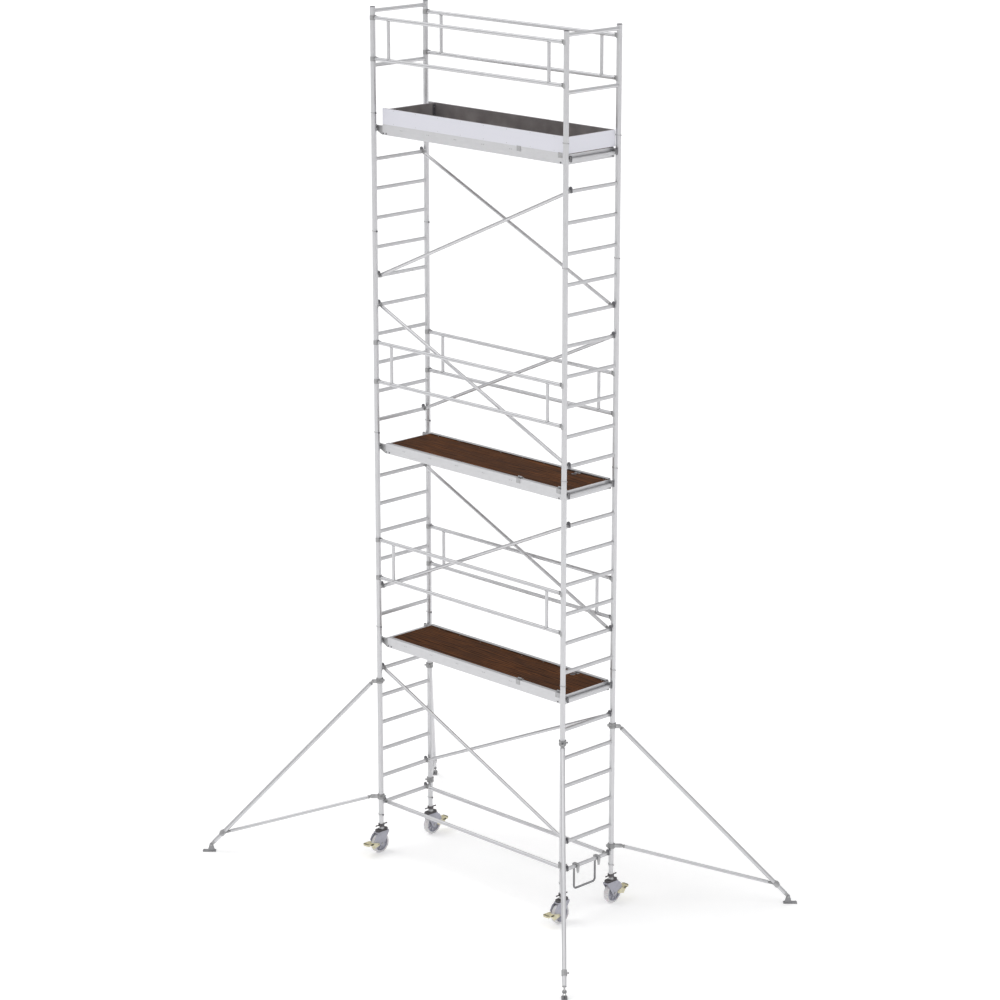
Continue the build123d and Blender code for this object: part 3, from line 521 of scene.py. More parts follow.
def zinc_plate(colours):
    """Bright zinc plating on turned steel: clean grey shine with faint clouding."""
    material, tree, shader = new_finish("zinc-plated steel", 1.0, 0.32)
    clouds = speckle(tree, 12 * MM, 4.0)
    base = tuple(colours.zinc)
    warm = (base[0] * 0.86, base[1] * 0.83, base[2] * 0.78)
    dress(tree, shader, blend(tree, clouds, warm, base, 0.35, 0.6), (clouds, 0.22, 0.45),
          (speckle(tree, 0.9 * MM, 1.0), 0.02 * MM))
    return material


def moulded_plastic(name, rgb, shine=0.5):
    """Moulded nylon: even colour with a fine spark-eroded texture that breaks up its gloss."""
    material, tree, shader = new_finish(name, 0.0, shine)
    grain = speckle(tree, 1.4 * MM, 2.0)
    scuffs = speckle(tree, 30 * MM, 5.0)
    rgb = tuple(rgb)
    base = blend(tree, scuffs, dimmed(rgb, 0.82), dimmed(rgb, 1.08), 0.35, 0.7)
    dress(tree, shader, base, (scuffs, shine - 0.1, shine + 0.15), (grain, 0.08 * MM))
    return material


def powder_coat(name, rgb, bare):
    """Powder-coated steel: satin colour with orange peel, and bare metal at knocked edges."""
    material, tree, shader = new_finish(name, 0.0, 0.42)
    peel = speckle(tree, 3.0 * MM, 1.0)
    dust = speckle(tree, 40 * MM, 5.0)
    rgb = tuple(rgb)
    base = blend(tree, dust, dimmed(rgb, 0.84), rgb, 0.3, 0.65)
    dress(tree, shader, worn_edges(tree, base, tuple(bare), 0.56), (dust, 0.34, 0.55),
          (peel, 0.08 * MM))
    return material


def rubber(name, rgb):
    """Moulded rubber: matt, with a chalky bloom and a pebbled skin."""
    material, tree, shader = new_finish(name, 0.0, 0.78)
    bloom = speckle(tree, 18 * MM, 5.0)
    rgb = tuple(rgb)
    dress(tree, shader, blend(tree, bloom, dimmed(rgb, 0.8), dimmed(rgb, 1.2), 0.3, 0.75),
          relief=(speckle(tree, 1.2 * MM, 2.0), 0.12 * MM))
    return material


def tyre_tread(colours):
    """Pale polyurethane tyre: slightly waxy, with grey rolling scuffs round its tread."""
    material, tree, shader = new_finish("polyurethane tyre", 0.0, 0.5)
    scuffs = speckle(tree, 9 * MM, 6.0)
    base = tuple(colours.tyre)
    shader.inputs["Subsurface Weight"].default_value = 0.05
    dress(tree, shader, blend(tree, scuffs, dimmed(base, 0.74), base, 0.32, 0.6),
          relief=(scuffs, 0.15 * MM))
    return material


def deck_film(decks, colours):
    """Film-faced plywood: brown phenolic film, the birch figure showing through in long streaks,
    with a fine mesh pressed in and scuffs where boots go. The mesh is coarse enough to show."""
    material, tree, shader = new_finish("film-faced plywood", 0.0, 0.6)
    shader.inputs["Specular IOR Level"].default_value = 0.06
    place = add(tree, "ShaderNodeTexCoord").outputs["Object"]
    # the veneer's figure runs along the sheet in streaks about 30 mm apart
    warp = speckle(tree, 90 * MM, 3.0, (6.0, 1.0, 1.0))
    drawn = add(tree, "ShaderNodeMapping", inputs={
        "Vector": place, "Scale": (0.12, 1.0, 1.0)})
    figure = add(tree, "ShaderNodeTexWave", {"wave_type": "BANDS", "bands_direction": "Y"}, {
        "Vector": drawn.outputs["Vector"], "Scale": math.pi / 10 / (30 * MM), "Distortion": 9.0,
        "Detail": 3.0, "Detail Scale": 1.6}).outputs["Fac"]
    streak = add(tree, "ShaderNodeMath", {"operation": "MULTIPLY"}, {0: figure, 1: warp})
    base = tuple(colours.ply)
    film = blend(tree, streak.outputs["Value"], dimmed(base, 0.5), dimmed(base, 1.75), 0.1, 0.5)
    scratches = speckle(tree, 5 * MM, 5.0, (14.0, 1.0, 1.0))
    worn = blend(tree, scratches, film, dimmed(base, 2.1), 0.64, 0.82, 0.4)
    ridges = []
    for angle in (30, -30):
        turned = add(tree, "ShaderNodeMapping", inputs={
            "Vector": place, "Rotation": (0, 0, math.radians(angle))})
        ridges.append(add(tree, "ShaderNodeTexWave", {"bands_direction": "X"}, {
            "Vector": turned.outputs["Vector"], "Scale": math.pi / 10 / decks.grip,
            "Distortion": 0.4, "Detail": 1.0}).outputs["Fac"])
    mesh = add(tree, "ShaderNodeMath", {"operation": "MAXIMUM"}, {0: ridges[0], 1: ridges[1]})
    dress(tree, shader, worn, (warp, 0.5, 0.7), (mesh.outputs["Value"], 0.3 * MM))
    return material


def ply_edge(colours):
    """Painted edge of the plywood: thin plies show as faint lines under the brown sealer."""
    material, tree, shader = new_finish("sealed plywood edge", 0.0, 0.7)
    # plies are 1.4 mm thick and lie flat
    plies = speckle(tree, 1.4 * MM, 1.0, (60.0, 60.0, 1.0))
    base = tuple(colours.ply_edge)
    dress(tree, shader, blend(tree, plies, dimmed(base, 0.6), dimmed(base, 1.25), 0.35, 0.65),
          relief=(plies, 0.2 * MM))
    return material


def toe_film(colours):
    """Dark grey film on the inside of a toe board: smooth and flat with long scrape marks."""
    material, tree, shader = new_finish("grey film-faced board", 0.0, 0.5)
    scrapes = speckle(tree, 6 * MM, 5.0, (20.0, 20.0, 1.0))
    clouds = speckle(tree, 160 * MM, 3.0)
    base = tuple(colours.toe_inner)
    film = blend(tree, clouds, dimmed(base, 0.62), base, 0.3, 0.7)
    marked = blend(tree, scrapes, film, dimmed(base, 1.9), 0.64, 0.8, 0.35)
    dress(tree, shader, marked, (clouds, 0.4, 0.6), (scrapes, 0.05 * MM))
    return material


def make_finishes(scene):
    """Every finish of the tower, by a short key."""
    colours = scene.tower_finish
    return {
        "tube": extruded_aluminium(colours),
        "cast": cast_metal("die-cast aluminium", colours.cast),
        "weld": cast_metal("aluminium weld bead", colours.aluminium, 0.9, 0.9 * MM, 0.1 * MM, 0.38),
        "latch": moulded_plastic("glass-filled nylon latch", colours.latch, 0.45),
        "zinc": zinc_plate(colours),
        "film": deck_film(scene.tower_decks, colours),
        "edge": ply_edge(colours),
        "sheet": cast_metal("lacquered aluminium sheet", colours.toe_outer, 0.3, 9 * MM,
                            0.01 * MM, 0.45, 0.975),
        "bar": cast_metal("galvanised steel bar", colours.bar, 0.8, 2 * MM, 0.05 * MM, 0.42, 0.85),
        "toe": toe_film(colours),
        "fork": powder_coat("powder-coated fork", colours.fork, colours.zinc),
        "head": cast_metal("blackened iron casting", colours.head, 0.6),
        "pedal": powder_coat("powder-coated pedal", colours.pedal, colours.zinc),
        "grip": rubber("rubber pedal grip", colours.pedal_grip),
        "tyre": tyre_tread(colours),
        "foot": cast_metal("grey cast foot", colours.foot, 0.5),
        "pad": rubber("rubber foot pad", colours.rubber),
    }


FINISHES = {}


def finish(*keys):
    """The finishes of those keys, made once."""
    if not FINISHES:
        FINISHES.update(make_finishes(bpy.context.scene))
    return [FINISHES[key] for key in keys]


# ---- frames ------------------------------------------------------------------------------------
TUBE, WELD, LATCH, ZINC = range(4)


def rung_levels(node, pitch):
    """Foot and top of a frame's posts, and the heights of its rungs."""
    base = low(node).z
    count = int((high(node).z - base) / pitch)
    return base, base + count * pitch, [base + pitch * (i + 0.5) for i in range(count)]


def soft_square(half, sides=40, squareness=0.42):
    """A loop of evenly turned points on a square with well rounded corners."""
    points = []
    for i in range(sides):
        angle = math.tau * i / sides
        c, s = math.cos(angle), math.sin(angle)
        points.append((half * math.copysign(abs(c) ** squareness, c),
                       half * math.copysign(abs(s) ** squareness, s)))
    return points


def post_y(tubes):
    return FRAME_OUT_Y - tubes.post / 2


def cross_weld(shape, tubes, x, sy, z, half, squareness):
    """The bead where a rung or end rail meets its post."""
    radius = tubes.post / 2
    ring = []
    for dx, dz in soft_square(half, squareness=squareness):
        y = post_y(tubes) - math.sqrt(radius ** 2 - dx ** 2)
        ring.append((x + dx, sy * y, z + dz))
    shape.weld(ring, tubes.weld, WELD, seed=z * 7 + sy)


def posts(shape, tubes, x, base, top):
    for sy in (-1, 1):
        y = sy * post_y(tubes)
        shape.round_tube((x, y, base), (x, y, top), tubes.post, tubes.post_wall, TUBE, 40)


def ladder_frame(node, sx, tubes):
    """Two posts, their spigots, and rungs with grip grooves and weld beads."""
    base, top, levels = rung_levels(node, tubes.pitch)
    x = sx * POST_X
    shape = Shape()
    posts(shape, tubes, x, base, top)
    spigot = tubes.post - 2 * tubes.post_wall - MM
    reach = post_y(tubes) - math.sqrt((tubes.post / 2) ** 2 - (tubes.rung / 2) ** 2)
    section = grip_outline(tubes.rung, 4 * MM, 4, 0.7 * MM)
    hollow = [(px * 0.86, py * 0.86) for px, py in section]
    for sy in (-1, 1):
        y = sy * post_y(tubes)
        shape.round_tube((x, y, top - 0.1), (x, y, high(node).z), spigot, tubes.wall, TUBE)
    for z in levels:
        shape.tube((x, -reach, z), (x, reach, z), section, hollow, TUBE)
        for sy in (-1, 1):
            cross_weld(shape, tubes, x, sy, z, tubes.rung / 2, 0.42)
    return make_piece(f"ladder_{node}", shape, finish("tube", "weld"), "tower",
                      [node], edge=0.6 * MM)


def guard_frame(node, sx, tubes):
    """The short top frame: two posts and two round end rails."""
    base, top = low(node).z, high(node).z
    x = sx * POST_X
    shape = Shape()
    posts(shape, tubes, x, base, top)
    radius = tubes.end_rail / 2
    reach = post_y(tubes) - math.sqrt((tubes.post / 2) ** 2 - radius ** 2)
    for drop in (0.035, 0.540):
        z = top - drop
        shape.round_tube((x, -reach, z), (x, reach, z), tubes.end_rail, tubes.wall, TUBE)
        for sy in (-1, 1):
            cross_weld(shape, tubes, x, sy, z, radius, 1.0)
    return make_piece(f"top_{node}", shape, finish("tube", "weld"), "tower",
                      [node], edge=0.6 * MM)


class TOWER_OT_frames(Operator):
    """Builds the ladder frames and the guard frames on top of them"""

    bl_idname = "tower.build_frames"
    bl_label = "Ladder Frames"

    def execute(self, context):
        tubes = context.scene.tower_tubes
        for side, sx in SIDES.items():
            for index in (1, 2, 3, 4):
                ladder_frame(f"frame_{side}_{index}", sx, tubes)
            guard_frame(f"guard_frame_{side}", sx, tubes)
        return {"FINISHED"}


class TOWER_OT_post_fittings(Operator):
    """Builds the post caps, the caster sleeves and the spring locking clips"""

    bl_idname = "tower.build_post_fittings"
    bl_label = "Post Fittings"

    def execute(self, context):
        tubes = context.scene.tower_tubes
        hooks = context.scene.tower_hooks
        caps = Shape()
        sleeves = Shape()
        sleeve_d = tubes.post - 2 * tubes.post_wall - 0.6 * MM
        for sx, sy in CORNERS.values():
            x, y = sx * POST_X, sy * post_y(tubes)
            radius = tubes.post / 2
            cap = ((radius * 0.86, -18 * MM), (radius * 0.88, 0), (radius, 0.2 * MM),
                   (radius, 3.5 * MM), (radius * 0.93, 5.2 * MM), (radius * 0.7, 6.0 * MM),
                   (radius * 0.35, 6.0 * MM), (radius * 0.3, 5.2 * MM))
            caps.turned((x, y, TOWER_TOP_Z), (x, y, TOWER_TOP_Z + 1), cap, 0, 40)
            foot = low("caster_sleeves").z
            sleeves.round_tube((x, y, foot), (x, y, high("caster_sleeves").z), sleeve_d,
                               tubes.post_wall, TUBE)
            collar = sleeve_d / 2 + 1.2 * MM
            sleeves.turned((x, y, foot), (x, y, foot + 1),
                           ((sleeve_d / 2, 0), (collar, 0), (collar, 7 * MM),
                            (sleeve_d / 2, 9 * MM)), WELD, loop=True)
        make_piece("post_caps_moulded", caps, finish("latch"), "tower", ["post_caps"])
        make_piece("caster_sleeve_tubes", sleeves, finish("tube", "weld"), "tower",
                   ["caster_sleeves"])
        self.clips(tubes, hooks)
        return {"FINISHED"}

    def clips(self, tubes, hooks):
        """A headed pin through each post joint with a spring wire that grips the post."""
        shape = Shape()
        joints = [rung_levels(f"frame_right_{i}", tubes.pitch)[0] for i in (1, 2, 3, 4)]
        joints.append(LADDER_TOP_Z)
        radius = tubes.post / 2
        spindle_clear = radius - 2 * tubes.post_wall - MM
        for sx, sy in CORNERS.values():
            for z in joints:
                place = Matrix.Translation((sx * POST_X, sy * post_y(tubes), z + 15 * MM))
                place = place @ Matrix.Scale(sx, 4, (1, 0, 0))
                head = -radius - 0.5 * MM
                tail = radius + 13 * MM
                spans = [(head, tail)]
                if z == joints[0]:
                    spans = [(head, -spindle_clear), (spindle_clear, tail)]
                for start, end in spans:
                    shape.round_bar(place @ Vector((start, 0, 0)), place @ Vector((end, 0, 0)),
                                    hooks.pin, 0, 16)
                shape.turned(place @ Vector((head, 0, 0)), place @ Vector((head - 1, 0, 0)),
                             ((8.5 * MM, 0), (9.2 * MM, 2 * MM), (9.2 * MM, 6 * MM),
                              (6.5 * MM, 9 * MM)), 1, 20)
                wire = []
                wire_r = radius + hooks.clip_wire / 2 + 0.6 * MM
                for px, py in arc(wire_r, 172, 352, 20):
                    rise = 5 * MM * math.sin((px / wire_r + 1) * math.pi / 2)
                    wire.append(place @ Vector((px, py, rise)))
                wire.append(place @ Vector((wire_r + 6 * MM, 0, 5 * MM)))
                shape.sweep(wire, round_outline(hooks.clip_wire / 2, 8), 0)
        make_piece("spring_locking_clips", shape, finish("zinc", "latch"), "tower",
                   ["locking_pins"], edge=0.5 * MM)


# ---- braces ------------------------------------------------------------------------------------
BRACES = {
    "braces_front": ((5, 1), (8, 12), (18, 14), (19, 23)),
    "braces_back": ((1, 5), (12, 8), (14, 18), (23, 19)),
}


def rung_z(index, tubes):
    return FRAME_BASE_Z + tubes.pitch * (index + 0.5)


def rung_hook(shape, tubes, hooks, near, far):
    """A cast hook over a rung, its riveted neck in the brace tube and its dark latch."""
    near, far = Vector(near), Vector(far)
    outward = math.copysign(1, near.x)
    slot = tubes.rung / 2 + PLAY
    reach = slot + hooks.wall
    body = [(-reach, -tubes.rung / 2)] + arc(reach, 180, 0, 14)
    body += [(reach, -9 * MM), (reach - 3 * MM, -12 * MM), (slot, -12 * MM)]
    body += arc(4 * MM, 0, 90, 3, (slot - 4 * MM, slot - 4 * MM))
    body += arc(4 * MM, 90, 180, 3, (4 * MM - slot, slot - 4 * MM))
    body += [(-slot, -tubes.rung / 2)]
    latch = [(-9 * MM, 24 * MM), (-5 * MM, 39 * MM), (5 * MM, 46 * MM), (19 * MM, 45 * MM),
             (29 * MM, 35 * MM), (29 * MM, -8 * MM), (25 * MM, -14 * MM)]
    latch += arc(reach, 5, 100, 9)
    # the hook's section stands across the rung, its first axis away from the bay
    turn = upright(outward)
    for outline, width, metal in ((body, hooks.width, 1), (latch, 11 * MM, LATCH)):
        shape.extrude(outline, Matrix.Translation(near) @ turn, width, metal, -width / 2)
    neck = hooks.neck
    width = hooks.width / 2
    root = along(near, far, neck)
    shape.turned(near, root, ((width * 0.8, slot), (width, slot + 5 * MM), (width, neck - 8 * MM),
                              (width * 1.2, neck - 5 * MM), (width * 1.2, neck - 0.2 * MM),
                              (width * 0.8, neck - 0.2 * MM)), 1)
    return root


def tube_rivets(shape, centre, diameter):
    """A domed rivet on each side of a tube."""
    for side in (-1, 1):
        base = Vector(centre) + Vector((0, side * (diameter / 2 - 0.6 * MM), 0))
        shape.turned(base, base + Vector((0, side, 0)),
                     ((4.5 * MM, 0), (4.2 * MM, 1.4 * MM), (2.2 * MM, 2.4 * MM)), ZINC, 12)


def hooked_tube(shape, tubes, hooks, left, right, diameter):
    """A tube that is hooked over a rung at each end and riveted to its hooks."""
    starts = [rung_hook(shape, tubes, hooks, *ends) for ends in ((left, right), (right, left))]
    shape.round_tube(*starts, diameter, tubes.wall, TUBE, 36)
    for start, other in (starts, starts[::-1]):
        for distance in (16 * MM, 32 * MM):
            tube_rivets(shape, along(start, other, distance), diameter)


class TOWER_OT_braces(Operator):
    """Builds the diagonal braces and the base struts with their hooks"""

    bl_idname = "tower.build_braces"
    bl_label = "Braces and Struts"

    def execute(self, context):
        tubes = context.scene.tower_tubes
        hooks = context.scene.tower_hooks
        finishes = finish("tube", "cast", "latch", "zinc")
        for node, spans in BRACES.items():
            y = middle(node).y
            shape = Shape()
            for left, right in spans:
                hooked_tube(shape, tubes, hooks, (-POST_X, y, rung_z(left, tubes)),
                            (POST_X, y, rung_z(right, tubes)), tubes.brace)
            make_piece(f"hooked_{node}", shape, finishes, "tower", [node])
        shape = Shape()
        y = high("base_struts").y - tubes.strut / 2
        z = rung_z(0, tubes)
        for side in (-1, 1):
            hooked_tube(shape, tubes, hooks, (-POST_X, side * y, z), (POST_X, side * y, z),
                        tubes.strut)
        make_piece("hooked_base_struts", shape, finishes, "tower",
                   ["base_struts"])
        return {"FINISHED"}


# ---- guardrails --------------------------------------------------------------------------------
def post_claw(shape, tubes, hooks, x, y, z):
    """A half-round claw that snaps round a post, its neck in the rail and its trigger."""
    inward = -math.copysign(1, x)
    inner = tubes.post / 2 + PLAY
    outer = inner + hooks.claw_wall
    outline = arc(outer, -100, 100, 20) + arc(inner, 100, -100, 20)
    place = Matrix.Translation((x, y, z)) @ Matrix.Scale(inward, 4, (1, 0, 0))
    shape.extrude(outline, place, hooks.claw_height, 1, -hooks.claw_height / 2)
    for tip in (-100, 100):
        lip = arc(hooks.claw_wall / 2, 0, 330, 11, arc((inner + outer) / 2, tip, tip, 1)[0])
        shape.extrude(lip, place, hooks.claw_height, 1, -hooks.claw_height / 2)
    near, far = place @ Vector((inner + 1 * MM, 0, 0)), place @ Vector((1, 0, 0))
    bore = tubes.rail / 2 - tubes.wall
    shape.turned(near, far, ((bore, 0), (bore, 11 * MM), (tubes.rail / 2 + 1 * MM, 13 * MM),
                             (tubes.rail / 2 + 1 * MM, 18 * MM), (bore, 18.2 * MM)), 1)
    trigger = [(28 * MM, 0), (29 * MM, 14 * MM), (38 * MM, 21 * MM), (60 * MM, 20 * MM),
               (64 * MM, 16 * MM), (62 * MM, 12 * MM), (45 * MM, 10 * MM), (42 * MM, 0)]
    shape.extrude(trigger, place @ upright(), 12 * MM, LATCH, -6 * MM)


def rail_pair(shape, tubes, hooks, y, levels, upright_x):
    """Two rails and the two uprights between them."""
    end = POST_X - 44 * MM
    wall = tubes.wall
    for z in levels:
        shape.round_tube((-end, y, z), (end, y, z), tubes.rail, wall, TUBE, 36)
        for x in (-POST_X, POST_X):
            post_claw(shape, tubes, hooks, x, y, z)
        for x in (-end + 18 * MM, end - 18 * MM):
            tube_rivets(shape, (x, y, z), tubes.rail)
    upright = tubes.rail - 2 * wall
    for x in (-upright_x, upright_x):
        shape.round_tube((x, y, levels[0] + 10 * MM), (x, y, levels[1] - 10 * MM), upright, wall,
                         TUBE)
        for z, way in ((levels[0], 1), (levels[1], -1)):
            ring = []
            for px, py in round_outline(upright / 2, 36):
                rise = math.sqrt((tubes.rail / 2) ** 2 - min(py ** 2, (tubes.rail / 2) ** 2))
                ring.append((x + px, y + py, z + way * rise))
            shape.weld(ring, tubes.weld * 0.8, WELD, seed=z + x)


class TOWER_OT_guardrails(Operator):
    """Builds the double guardrails at each platform with their post claws"""

    bl_idname = "tower.build_guardrails"
    bl_label = "Guardrails"

    upright_x: FloatProperty(name="Upright", description="Middle to each upright", default=1.036,
                             min=0.1, unit="LENGTH")

    def execute(self, context):
        tubes = context.scene.tower_tubes
        hooks = context.scene.tower_hooks
        finishes = finish("tube", "cast", "latch", "zinc")
        for level in LEVELS:
            node = f"guardrails_{level}"
            inset = hooks.claw_height / 2
            levels = (low(node).z + inset, high(node).z - inset)
            shape = Shape()
            for side in (-1, 1):
                rail_pair(shape, tubes, hooks, side * post_y(tubes), levels, self.upright_x)
            make_piece(f"clawed_{node}", shape, finishes, "tower", [node])
        return {"FINISHED"}


# ---- platforms ---------------------------------------------------------------------------------
def rivet(shape, base, outward, size, metal):
    """A domed rivet head on a face."""
    base, outward = Vector(base), Vector(outward)
    radius = size / 2
    shape.turned(base - outward * 0.3 * MM, base + outward,
                 ((radius, 0), (radius * 0.92, radius * 0.3), (radius * 0.55, radius * 0.55)),
                 metal, 12)


def box_between(shape, lowest, highest, metal=0):
    """A block between two corners; its edges are eased by the piece's bevel."""
    lowest, highest = Vector(lowest), Vector(highest)
    size = highest - lowest
    outline = [(0, 0), (size.x, 0), (size.x, size.y), (0, size.y)]
    return shape.extrude(outline, Matrix.Translation(lowest), size.z, metal)


def side_rail_outline(decks, sign, node):
    """Section of a side rail in Y and Z, with shallow extrusion beads on its outer face."""
    out, base, top = high(node).y, low(node).z, high(node).z
    web = out - decks.wall
    ledge = low("deck_1").z - low("platform_frame_1").z + base
    outer = [(out, base)]
    for share in (0.3, 0.7):
        z = base + (top - base) * share
        outer += [(out, z - 3 * MM), (out - 0.9 * MM, z - 2.6 * MM), (out - 0.9 * MM, z + 2.6 * MM),
                  (out, z + 3 * MM)]
    outline = outer + [
        (out, top), (out - decks.lip, top), (out - decks.lip, top - decks.wall),
        (web, top - decks.wall), (web, ledge), (out - decks.ledge, ledge),
        (out - decks.ledge, ledge - decks.wall), (web, ledge - decks.wall),
        (web, base + decks.wall), (out - decks.flange, base + decks.wall),
        (out - decks.flange, base)]
    return [(sign * y, z) for y, z in outline]


def platform_rails(node, decks):
    """Side rails, end plates with folded edges, cross members and their rivets."""
    shape = Shape()
    lowest, highest = low(node), high(node)
    wall = decks.wall
    deck_low = low(node.replace("platform_frame", "deck")).z
    deck_top = high(node.replace("platform_frame", "deck")).z
    left, right = lowest.x + wall, highest.x - wall
    for sign in (-1, 1):
        shape.extrude(side_rail_outline(decks, sign, node), ACROSS, right - left, TUBE, left)
    for sign, x in ((-1, left), (1, right)):
        plate = sorted((x, x + sign * wall))
        box_between(shape, (plate[0], lowest.y, lowest.z), (plate[1], highest.y, deck_top), TUBE)
        for z in (lowest.z, deck_low - wall):
            fold = sorted((x, x - sign * decks.flange))
            box_between(shape, (fold[0], lowest.y + decks.ledge, z),
                        (fold[1], highest.y - decks.ledge, z + wall), TUBE)
    web = highest.y - wall
    last = low(node.replace("platform_frame", "hatch")).x - 30 * MM
    for middle_x in [last - 0.36 * i for i in range(5)]:
        section = box_outline(40 * MM, 25 * MM, 2 * MM)
        hollow = box_outline(36 * MM, 21 * MM, 1 * MM)
        z = deck_low - wall - 12.5 * MM
        shape.tube((middle_x, -web, z), (middle_x, web, z), [(y, x) for x, y in section],
                   [(y, x) for x, y in hollow], TUBE)
        for sign in (-1, 1):
            for dx in (-11 * MM, 11 * MM):
                rivet(shape, (middle_x + dx, sign * highest.y, z), (0, sign, 0), decks.rivet, 1)
    for sign in (-1, 1):
        for x in (lowest.x + 10 * MM, lowest.x + 50 * MM, highest.x - 70 * MM, highest.x - 30 * MM):
            y = sign * highest.y
            z = lowest.z + 14 * MM
            shape.bolt((x, y, z), (x, y + sign * 5 * MM, z), 11 * MM, 16 * MM, LATCH)
    return make_piece(f"rails_{node}", shape, finish("tube", "zinc", "latch"), "tower",
                      [node], edge=0.5 * MM)


def ply_sheet(shape, lowest, highest, film=0, edge=1):
    """A plywood sheet: film on both faces, sealed plies round the edge."""
    for face in box_between(shape, lowest, highest, edge)[-2:]:
        face.material_index = film


class TOWER_OT_platforms(Operator):
    """Builds the platform frames, their plywood decks and the hooks at their ends"""

    bl_idname = "tower.build_platforms"
    bl_label = "Platforms"

    def execute(self, context):
        tubes = context.scene.tower_tubes
        decks = context.scene.tower_decks
        for level in LEVELS:
            platform_rails(f"platform_frame_{level}", decks)
            self.deck(f"deck_{level}", f"hatch_{level}", decks)
        self.claws(tubes, context.scene.tower_hooks)
        return {"FINISHED"}

    def deck(self, node, hatch, decks):
        """The fixed sheets on each side of the hatch, screwed to the rails' ledges."""
        lowest, highest = low(node), high(node)
        gap = 2 * MM
        shape = Shape()
        start, end = low(hatch).x - gap, high(hatch).x + gap
        for left, right in ((lowest.x, start), (end, highest.x)):
            ply_sheet(shape, (left, lowest.y, lowest.z), (right, highest.y, highest.z))
            count = max(2, round((right - left) / 0.28))
            for i in range(count):
                x = left + (right - left) * (i + 0.5) / count
                for sign in (-1, 1):
                    y = sign * (highest.y - decks.lip - 8 * MM)
                    rivet(shape, (x, y, highest.z), (0, 0, 1), decks.rivet, 2)
        make_piece(f"plywood_{node}", shape, finish("film", "edge", "zinc"), "tower",
                   [node], edge=1.2 * MM)

    def claws(self, tubes, hooks):
        """Cast claws over the rungs, each with a dark wind lock, at both ends of each platform."""
        shape = Shape()
        slot = tubes.rung / 2 + PLAY
        outer = POST_X + slot + hooks.wall
        y_mid = high("platform_claws").y - 11 * MM
        for level in LEVELS:
            node = f"platform_frame_{level}"
            rise = high("platform_claws").z - low("platform_frame_3").z
            base = low(node).z
            top = base + rise
            z = base + 44 * MM
            for sx, end in ((-1, -low(node).x), (1, high(node).x)):
                outline = [(end, base), (end + hooks.wall, base), (POST_X - slot, z - slot)]
                outline += arc(3 * MM, 180, 90, 3, (POST_X - slot + 3 * MM, z + slot - 3 * MM))
                outline += arc(3 * MM, 90, 0, 3, (POST_X + slot - 3 * MM, z + slot - 3 * MM))
                outline += [(POST_X + slot, z - slot / 2), (outer, z - slot / 2)]
                outline += arc(hooks.wall, 0, 90, 4, (outer - hooks.wall, top - hooks.wall))
                outline += [(end, top)]
                lock = [(POST_X + slot + 1 * MM, z - 18 * MM), (outer + 5 * MM, z - 16 * MM),
                        (outer + 6 * MM, z + 16 * MM), (outer + 2 * MM, top + 4 * MM),
                        (outer - 18 * MM, top + 5 * MM), (outer - 22 * MM, top - 1 * MM),
                        (outer - hooks.wall, top - 1 * MM), (outer - 1 * MM, top - hooks.wall),
                        (outer - 1 * MM, z - 8 * MM)]
                for y in (-y_mid, y_mid):
                    for points, width, metal in ((outline, 22 * MM, 0), (lock, 12 * MM, 1)):
                        shape.extrude(points, upright(sx), width, metal, y - width / 2)
        make_piece("cast_platform_claws", shape, finish("cast", "latch"), "tower",
                   ["platform_claws"], edge=1.2 * MM)


# ---- hatches -----------------------------------------------------------------------------------
def hatch_panel(shape, node, top):
    """A hinged plywood sheet with a round finger hole."""
    lowest, highest = low(node), high(node)
    sides, hole = 32, 22 * MM
    centre = Vector((middle(node).x, highest.y - 70 * MM, 0))
    corners = ((highest.x, lowest.y), (highest.x, highest.y), (lowest.x, highest.y),
               (lowest.x, lowest.y))
    rim = []
    for i, (x, y) in enumerate(corners):
        after = corners[(i + 1) % 4]
        rim += [(x + (after[0] - x) * k / 8, y + (after[1] - y) * k / 8)
                for k in range(sides // 4)]
    ring = []
    for x, y in rim:
        reach = Vector((x - centre.x, y - centre.y, 0)).normalized() * hole
        ring.append((centre.x + reach.x, centre.y + reach.y))
    rings = [[(x, y, z) for x, y in outline]
             for outline, z in ((rim, lowest.z), (rim, top), (ring, top), (ring, lowest.z))]
    faces = shape.skin(rings, 0, loop=True)
    for face in faces[:sides] + faces[2 * sides:3 * sides]:
        face.material_index = 1
    return centre


